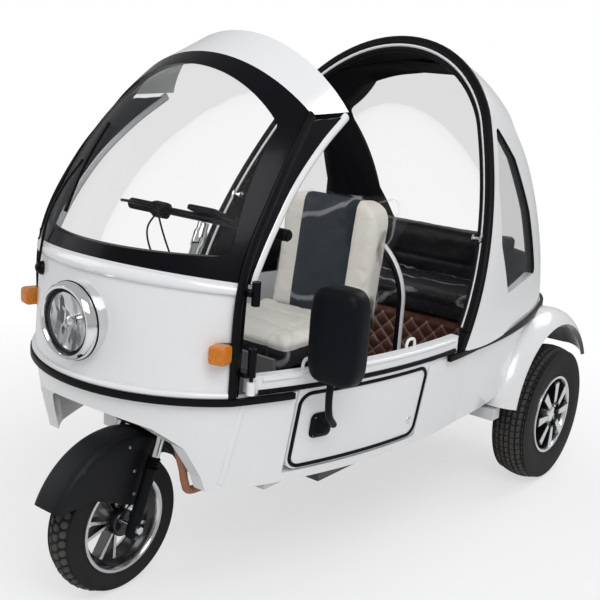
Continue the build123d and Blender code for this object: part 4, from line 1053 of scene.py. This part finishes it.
for cable, spots in cable_routes:
    route = [bar_spot(*spot) for spot in spots]
    curve = bpy.data.curves.new(cable, "CURVE")
    curve.dimensions = "3D"
    spline = curve.splines.new("NURBS")
    spline.points.add(len(route) - 1)
    for control, spot in zip(spline.points, route):
        control.co = (*spot, 1)
    spline.order_u = 3
    spline.use_endpoint_u = True
    spline.resolution_u = 8
    cable_obj = placed(cable, curve)
    graph = bpy.context.evaluated_depsgraph_get()
    bare_line = bpy.data.meshes.new_from_object(cable_obj.evaluated_get(graph))
    curve.bevel_depth = cable_diameter / 2
    curve.bevel_resolution = 3
    curve.use_fill_caps = True
    curve.materials.append(black_rubber)
    mounted(cable_obj, "steering")


# Driver's seat: foam pads in sewn leatherette. The back is cream with a slate middle panel, the cushion is
# cream on top with a black border, and both stand on a black moulded base.
def stuffed(node, name, squeeze, cap, voxel=0.006, pressure=4.0, corner=0.0):
    """Pad swollen from a CAD solid by cloth pressure; cap limits the swelling, corner rounds the top."""
    low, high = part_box(node)
    middle = (low + high) / 2
    shell = bmesh.new()
    shell.from_mesh(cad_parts[node].data)
    bmesh.ops.remove_doubles(shell, verts=shell.verts, dist=1e-5)
    for vert in shell.verts:
        vert.co = middle + Vector([(c - m) * s for c, m, s in zip(vert.co, middle, squeeze)])
    mesh = bpy.data.meshes.new(name)
    shell.to_mesh(mesh)
    shell.free()
    obj = placed(name, mesh)
    even = obj.modifiers.new("even", "REMESH")
    even.mode = "VOXEL"
    even.voxel_size = voxel
    baked(obj)
    half = (high.y - low.y) / 2 * squeeze[1]
    top = middle.z + (high.z - low.z) / 2 * squeeze[2]
    for vert in obj.data.vertices:
        side, rise = abs(vert.co.y) - (half - corner), vert.co.z - (top - corner)
        if corner and side > 0 and rise > 0:
            pull = min(1.0, corner / max(1e-6, (side * side + rise * rise) ** 0.5))
            vert.co.y = (half - corner + side * pull) * (1 if vert.co.y > 0 else -1)
            vert.co.z = top - corner + rise * pull
    rest = [vert.co.copy() for vert in obj.data.vertices]
    swell = obj.modifiers.new("swell", "CLOTH")
    swell.settings.use_pressure = True
    swell.settings.uniform_pressure_force = pressure
    swell.settings.effector_weights.gravity = 0
    for step in range(1, 21):
        scene.frame_set(step)
    baked(obj)
    scene.frame_set(1)
    for vert, start in zip(obj.data.vertices, rest):
        move = vert.co - start
        if move.length > cap:
            vert.co = start + move.normalized() * cap
    return obj


def sewn(obj, seams, material, body, ripple=0.0015, ripple_scale=16.0):
    """Press seams into a pad and ripple its cover. A seam is (how far off it a point is, depth, width)."""
    mesh = obj.data
    moves = []
    for vert in mesh.vertices:
        drop = sum(depth * exp(-(off(vert.co) / width) ** 2) for off, depth, width in seams)
        wave = ripple * noise.noise(vert.co * ripple_scale)
        wave += 0.4 * ripple * noise.noise(vert.co * ripple_scale * 3)
        moves.append(vert.normal * (wave - drop))
    for vert, move in zip(mesh.vertices, moves):
        vert.co += move
    mesh.materials.clear()
    mesh.materials.append(material)
    mesh.shade_smooth()
    fine = obj.modifiers.new("fine", "SUBSURF")
    fine.levels = fine.render_levels = 1
    mounted(obj, body)
    return obj


def leather(name, colour, bands=(), axis="Y", roughness=0.42):
    """Grained leatherette; past each band's limit along an axis, either way, it takes the band's colour."""
    material = finish(name, colour, roughness, mottle=0.08, mottle_scale=9, grain=0.35, grain_scale=380,
                      coat=0.04, shine=0.25)
    tree = material.node_tree
    for other, limit in bands:
        place = add(tree, "ShaderNodeTexCoord").outputs["Object"]
        split = add(tree, "ShaderNodeSeparateXYZ", {0: place})
        size = add(tree, "ShaderNodeMath", {0: split.outputs[axis]}, operation="ABSOLUTE").outputs[0]
        change = add(tree, "ShaderNodeMapRange", {
            "Value": size, "From Min": limit - seam_blur, "From Max": limit + seam_blur})
        repaint(material, change.outputs["Result"], other)
    return material


seam_blur = 0.0008
cream, slate, near_black = (0.78, 0.76, 0.70), (0.018, 0.026, 0.034), (0.008, 0.008, 0.010)
middle_half, gusset_y = 0.106, 0.190
back_seams = [(lambda p, s=side: p.y - s * middle_half, 0.005, 0.007) for side in (1, -1)]
driver_back = stuffed("driver_back", "seat_back", (0.90, 0.97, 0.97), 0.010, voxel=0.007, corner=0.105)
sewn(driver_back, back_seams,
     leather("seat_back_leather", slate, ((cream, middle_half), (near_black, gusset_y))),
     "chassis")
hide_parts("driver_back")
border_z = 0.628
driver_cushion = stuffed("driver_cushion", "seat_cushion", (0.97, 0.97, 0.86), 0.012, voxel=0.007)
sewn(driver_cushion, [(lambda p: p.z - border_z, 0.004, 0.006)] + back_seams,
     leather("seat_cushion_leather", near_black, ((cream, border_z),), "Z"), "chassis",
     ripple=0.003)
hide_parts("driver_cushion")
black_leather = leather("black_leather", near_black, roughness=0.38)
dress(black_plastic, "driver_seat_base")


# Delivery film: clear plastic still pulled over the pads, as it left the works. It stands off them in sharp
# little ridges, with thin bright lines painted along its creases as painted highlights.
def crumpled_film(name):
    """Clear film with painted highlights: thin wavy lines where it turns less clear and shows its pale
    colour.
    """
    material = clear(name, (0.85, 0.86, 0.88), 0.05, roughness=0.12)
    tree = material.node_tree
    place = add(tree, "ShaderNodeTexCoord").outputs["Object"]
    # Painted highlights: along thin wavy lines the film turns less clear, so its near-white colour shows.
    slanted = add(tree, "ShaderNodeMapping",
                  {"Vector": place, "Rotation": (0.9, 0.35, 0.5)}).outputs["Vector"]
    crease_glint_lines = add(tree, "ShaderNodeTexWave", {
        "Vector": slanted, "Scale": 3.2, "Distortion": 5.0, "Detail": 1.5, "Detail Scale": 1.2})
    seen = add(tree, "ShaderNodeMapRange", {
        "Value": crease_glint_lines.outputs["Fac"], "From Min": 0.95, "From Max": 1.0, "To Min": 0.012, "To Max": 0.26})
    tree.links.new(seen.outputs["Result"], tree.nodes["Principled BSDF"].inputs["Alpha"])
    return material


film_plastic = crumpled_film("film_plastic")


def film(name, pad, kept, lift, fold, pull=None):
    """Film over the kept faces of a pad; pull is (place, offset, reach) of a corner that sticks out."""
    shell = bmesh.new()
    shell.from_mesh(pad.data)
    bare = [f for f in shell.faces if not kept(f.calc_center_median(), f.normal)]
    bmesh.ops.delete(shell, geom=bare, context="FACES")
    for vert in shell.verts:
        ridge = (1 - abs(noise.noise(vert.co * 13))) ** 3 + 0.5 * (1 - abs(noise.noise(vert.co * 31))) ** 3
        vert.co += vert.normal * (lift + fold * ridge)
        if pull:
            place, offset, reach = pull
            vert.co += offset * exp(-((vert.co - place).length / reach) ** 2)
    mesh = bpy.data.meshes.new(name)
    shell.to_mesh(mesh)
    cut_area = sum(f.calc_area() for f in shell.faces)
    shell.free()
    mesh.shade_smooth()
    mesh.materials.append(film_plastic)
    obj = mounted(placed(name, mesh), "chassis")
    return obj


back_low, back_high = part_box("driver_back")
film("seat_back_film", driver_back, lambda p, n: n.z > -0.5, 0.003, 0.004,
     (Vector((back_low.x + 0.03, back_high.y, 0.985)), Vector((-0.10, 0.02, 0.015)), 0.10))
film("seat_cushion_film", driver_cushion, lambda p, n: n.z > -0.3, 0.003, 0.005)

# Passenger bench: black leatherette pads on a boxed base, the cushion still under its delivery film. The
# base is faced with brown leatherette, quilted in diamonds over thin foam.
bench_back = stuffed("bench_back", "bench_back_pad", (0.90, 0.98, 0.96), 0.010, voxel=0.008)
sewn(bench_back, [(lambda p: p.z - 0.742, 0.004, 0.007)], black_leather, "chassis",
     ripple=0.003)
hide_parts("bench_back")
bench_cushion = stuffed("bench_cushion", "bench_pad", (0.97, 0.98, 0.88), 0.010, voxel=0.008)
sewn(bench_cushion, [(lambda p: p.z - 0.655, 0.004, 0.006)], black_leather, "chassis",
     ripple=0.003)
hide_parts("bench_cushion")
film("bench_film", bench_cushion, lambda p, n: n.z > 0.1 or n.x > 0.5, 0.003, 0.006)


def quilted(name):
    """Brown leatherette with pale stitching along its diamonds, read from the piece's own quilt map."""
    material = finish(name, (0.085, 0.028, 0.020), 0.42, mottle=0.15, mottle_scale=12, grain=0.3,
                      grain_scale=350)
    thread = add(material.node_tree, "ShaderNodeAttribute", attribute_name="stitch").outputs["Fac"]
    repaint(material, thread, (0.42, 0.27, 0.20))
    return material


quilt_brown = quilted("quilted_brown")
dress(quilt_brown, "bench_base")
diamond, puff, quilt_step = 0.062, 0.009, 0.0052


def quilt(name, corner, across, along, out, size, body):
    """Padded facing of sewn diamonds on a flat panel; across and along span it from its corner."""
    columns, rows = round(size[0] / quilt_step), round(size[1] / quilt_step)
    points, stitch = [], []
    for j in range(rows + 1):
        for i in range(columns + 1):
            u, v = size[0] * i / columns, size[1] * j / rows
            a, b = abs(sin(pi * (u + v) / diamond)), abs(sin(pi * (u - v) / diamond))
            edge = min(1.0, min(i, columns - i, j, rows - j) / 3)
            points.append(corner + across * u + along * v + out * (0.002 + puff * (a * b) ** 0.45 * edge))
            stitch.append(1.0 if min(a, b) < 0.16 and edge == 1.0 else 0.0)
    wide = columns + 1
    faces = [(j * wide + i, j * wide + i + 1, (j + 1) * wide + i + 1, (j + 1) * wide + i)
             for j in range(rows) for i in range(columns)]
    border = [j * wide for j in range(rows + 1)] + [rows * wide + i for i in range(1, wide)]
    border += [j * wide + columns for j in range(rows - 1, -1, -1)] + [i for i in range(columns - 1, 0, -1)]
    start = len(points)
    points += [points[i] - out * (0.0015 + (points[i] - corner).dot(out)) for i in border]
    stitch += [0.0] * len(border)
    faces += [(border[k], border[(k + 1) % len(border)], start + (k + 1) % len(border), start + k)
              for k in range(len(border))]
    faces.append(tuple(range(start, start + len(border))))
    facing = piece(name, points, faces, quilt_brown, body, "brown_lining", crease=60)
    facing.data.attributes.new("stitch", "FLOAT", "POINT").data.foreach_set("value", stitch)
    return facing


base_low, base_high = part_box("bench_base")
facing_inset = 0.004
facing_corner = Vector((base_high.x, base_low.y + facing_inset, base_low.z + facing_inset))
facing_size = (base_high.y - base_low.y - 2 * facing_inset, base_high.z - base_low.z - 0.006)
quilt("bench_facing", facing_corner, to_left, to_top, to_front, facing_size, "chassis")

# Rear lining: thin black cloth bonded inside the rear shell, right up to the windows' edges. It is lifted
# off the shell's inner faces and given its own thickness.
lining_cloth = finish("lining_cloth", (0.006, 0.006, 0.008), 0.7, mottle=0.2, mottle_scale=18, grain=0.3,
                      grain_scale=500, shine=0.1)
lining_lift, lining_thick = 0.0025, 0.0015
shell_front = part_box("rear_shell")[1].x
lining = bmesh.new()
lining.from_mesh(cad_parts["rear_shell"].data)
bmesh.ops.remove_doubles(lining, verts=lining.verts, dist=1e-5)
lining.faces.ensure_lookup_table()
outer_faces = []
for face in lining.faces:
    spot = face.calc_center_median()
    axis_point = Vector((min(spot.x + 0.25, shell_front), 0, 0.95))
    if face.normal.dot((axis_point - spot).normalized()) < 0.35:
        outer_faces.append(face)
bmesh.ops.delete(lining, geom=outer_faces, context="FACES")
lining_mesh = bpy.data.meshes.new("rear_lining")
for vert in lining.verts:
    vert.co += vert.normal * lining_lift
lining.to_mesh(lining_mesh)
lining.free()
smoothed(lining_mesh, 40)
lining_mesh.materials.append(lining_cloth)
lining_obj = placed("rear_lining", lining_mesh)
body_of_cloth = lining_obj.modifiers.new("thickness", "SOLIDIFY")
body_of_cloth.thickness = lining_thick
body_of_cloth.offset = -1
mounted(lining_obj, "chassis")

# Rear window border: a black band painted round the inside of the big rear pane, over its bond to the
# shell. Its inner edge is one smooth arch.
arch_edge = ((0.300, 0.800), (0.338, 0.930), (0.344, 1.080), (0.342, 1.215), (0.322, 1.312), (0.262, 1.376),
             (0.170, 1.418), (0.060, 1.438))
left_half = smooth_line([(0, y, z) for y, z in arch_edge], 40)
arch_line = left_half + [Vector((0, -p.y, p.z)) for p in reversed(left_half)]
pane_tree = panel_tree("rear_glass", "rear_shell")
border_middle, border_rows, border_step = Vector((0, 0, 1.10)), 5, 0.028
border_grid = []
for p in arch_line:
    looks_from = border_middle - to_front * 0.30
    rays_in = [looks_from + (p - border_middle) * (1.0 + border_step * k) for k in range(border_rows)]
    hits, outs = onto(pane_tree, rays_in, -to_front)
    if len(hits) == border_rows:
        near_side = [h + n * 0.004 for h, n in zip(hits, outs)]
        far_side = [h + n * 0.002 for h, n in zip(hits, outs)]
        border_grid.append(near_side + far_side[::-1])
piece("rear_window_border", *skin(border_grid), lining_cloth, "chassis", "black_leather", crease=60)

# Rear hoop: a black rubber channel round the shell's front edge, with a white bead inside it, and a
# chromed door striker on each side.
hoop_foot, hoop_rake = Vector((0.010, 0, 0.640)), radians(24.9)
hoop_ahead = Vector((cos(hoop_rake), 0, sin(hoop_rake)))
hoop_up = Vector((-sin(hoop_rake), 0, cos(hoop_rake)))
hoop_seal_depth = 0.020
hoop_mid = hoop_foot + hoop_up * 0.36 + hoop_ahead * (hoop_seal_depth / 2)
hoop_tree = panel_tree("hoop_seal")
channel_path, channel_outs, white_path, inner_path = [], [], [], []
for step in range(88):
    turn = radians(-41 + 262 * step / 87)
    spoke = to_left * cos(turn) + hoop_up * sin(turn)
    outer, _ = onto(hoop_tree, [hoop_mid + spoke * 1.5], -spoke)
    inner, _ = onto(hoop_tree, [hoop_mid], spoke)
    if outer and inner and outer[0].z > 0.672:
        front = hoop_ahead * (hoop_seal_depth / 2)
        channel_path.append(outer[0].lerp(inner[0], 0.25) + front)
        white_path.append(outer[0].lerp(inner[0], 0.92) + front)
        inner_path.append(outer[0].lerp(inner[0], 1.40) + front * 0.6)
        channel_outs.append(hoop_ahead)
piece("hoop_channel", *bead(channel_path, channel_outs, 0.034, 0.011, sides=14), black_rubber, "chassis",
      "black_rubber")
piece("hoop_white_bead", *bead(white_path, channel_outs, 0.012, 0.008), white_gelcoat, "chassis",
      "white_shell")
piece("hoop_inner_bead", *bead(inner_path, channel_outs, 0.018, 0.010), black_rubber, "chassis",
      "black_rubber")
strikers = []
striker_z = 0.965
for side in (1, -1):
    near = min((p for p in white_path if p.y * side > 0), key=lambda p: abs(p.z - striker_z))
    inward = Vector((0, -side, 0))
    strikers.append(skin(pillow_rings(near, inward, hoop_ahead, hoop_up, (
        (-0.004, 0.012, 0.016), (0.004, 0.012, 0.016), (0.005, 0.006, 0.006), (0.024, 0.006, 0.006),
        (0.025, 0.011, 0.011), (0.031, 0.011, 0.011), (0.032, 0.006, 0.006)), power=3, count=20)))
piece("door_strikers", *joined(*strikers), chrome, "chassis", "chrome", crease=30)

# Guard arch edging: black rubber strips pushed onto the front and rear edges of the white arch behind the
# driver, from foot to foot in one length.
arch_low, arch_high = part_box("guard_arch")
arch_x = (arch_low.x + arch_high.x) / 2
arch_tube = (arch_high.x - arch_low.x) / 2
arch_r = arch_high.y - arch_tube
arch_spring = arch_high.z - arch_tube - arch_r
for ahead, word in ((1, "front"), (-1, "rear")):
    legs_up = [Vector((arch_x, arch_r, arch_low.z + 0.004 + (arch_spring - arch_low.z) * k / 12))
               for k in range(12)]
    over = [Vector((arch_x, arch_r * cos(turn), arch_spring + arch_r * sin(turn)))
            for turn in (pi * k / 40 for k in range(41))]
    down = [Vector((p.x, -p.y, p.z)) for p in reversed(legs_up)]
    edge = [p + Vector((ahead * arch_tube * 0.85, 0, 0)) for p in legs_up + over + down]
    piece(f"arch_edging_{word}", *bead(edge, [Vector((ahead, 0, 0))] * len(edge), 0.016, 0.009),
          black_rubber, "chassis", "black_rubber")

# Half-door fittings: two white tie loops of bent wire and a rolled white lip on the top rail, and a chromed
# lock barrel set into the panel.
loop_places = (0.640, 0.270)
loop_bend = ((-0.020, -0.004), (-0.021, 0.012), (-0.012, 0.024), (0.012, 0.024), (0.021, 0.012),
             (0.020, -0.004))
rail_roll = straight((0.780, 0.683), (0.070, 0.683), 61)
rail_top = 0.694
for side, door in door_sides:
    tree = panel_tree(door)
    parts = []
    for x in loop_places:
        above = [(x, side * (0.34 + 0.004 * k), rail_top + 0.2) for k in range(56)]
        down_hits, _ = onto(tree, above, -to_top)
        on_top = [p for p in down_hits if p.z > rail_top - 0.004]
        seat = min(on_top, key=lambda p: abs(p.y)) + Vector((0, side * 0.005, 0))
        bow = smooth_line([seat + Vector((a, 0, b)) for a, b in loop_bend], 24)
        parts.append(bead(bow, [Vector((0, side, 0))] * 24, 0.009, 0.0045))
    piece(f"{door}_tie_loops", *joined(*parts), white_tube, door, "white_shell")
    hits, outs = from_side(tree, side, [(0.238, 0.468)])
    barrel = [(0.0005, 0.004), (0.003, 0.004), (0.0032, 0.002), (0.008, 0.0035), (0.0105, 0.002),
              (0.0110, -0.002)]
    piece(f"{door}_lock", *turned(barrel, hits[0], outs[0], 28), chrome, door, "chrome", crease=30)
    path, normals = from_side(tree, side, rail_roll)
    piece(f"{door}_rail_roll", *bead(path, normals, 0.012, 0.005), white_gelcoat, door, "white_shell")

# Wiper: a black enamelled arm and a sprung rubber blade lying up the screen, both drawn as one piece in
# black enamel. The arm is clamped on a motor boss on the nose's right.
screen_tree = panel_tree("windscreen_glass", "windscreen_frame", "nose_panel")
look = Vector((-0.82, 0.16, -0.55)).normalized()


def off_screen(x, y, z, gap):
    """Point a gap off the screen or nose, in front of the given place."""
    hits, outs = onto(screen_tree, [Vector((x, y, z)) - look * 0.3], look)
    return hits[0] + outs[0] * gap


arm_spots = [off_screen(0.974, -0.215, 0.880, 0.014), off_screen(0.945, -0.197, 1.002, 0.020),
             off_screen(0.905, -0.178, 1.085, 0.018), off_screen(0.866, -0.150, 1.154, 0.013)]
arm_line = smooth_line(arm_spots, 24)
blade_spots = [off_screen(0.950, -0.135, 1.035, 0.006), off_screen(0.905, -0.140, 1.110, 0.006),
               off_screen(0.860, -0.145, 1.180, 0.006), off_screen(0.800, -0.148, 1.258, 0.006)]
blade_line = smooth_line(blade_spots, 30)
wiper_out = -look
boss_foot = off_screen(0.974, -0.215, 0.880, 0.0)
boss = [(0.0175, -0.004), (0.0175, 0.010), (0.0150, 0.014), (0.0090, 0.020), (0.0005, 0.021)]
wiper_parts = [bead(arm_line, [wiper_out] * 24, 0.010, 0.0035),
               bead(blade_line, [wiper_out] * 30, 0.0075, 0.0060),
               turned(boss, boss_foot, wiper_out, 28)]
piece("wiper", *joined(*wiper_parts), black_enamel, "chassis", "black_paint")
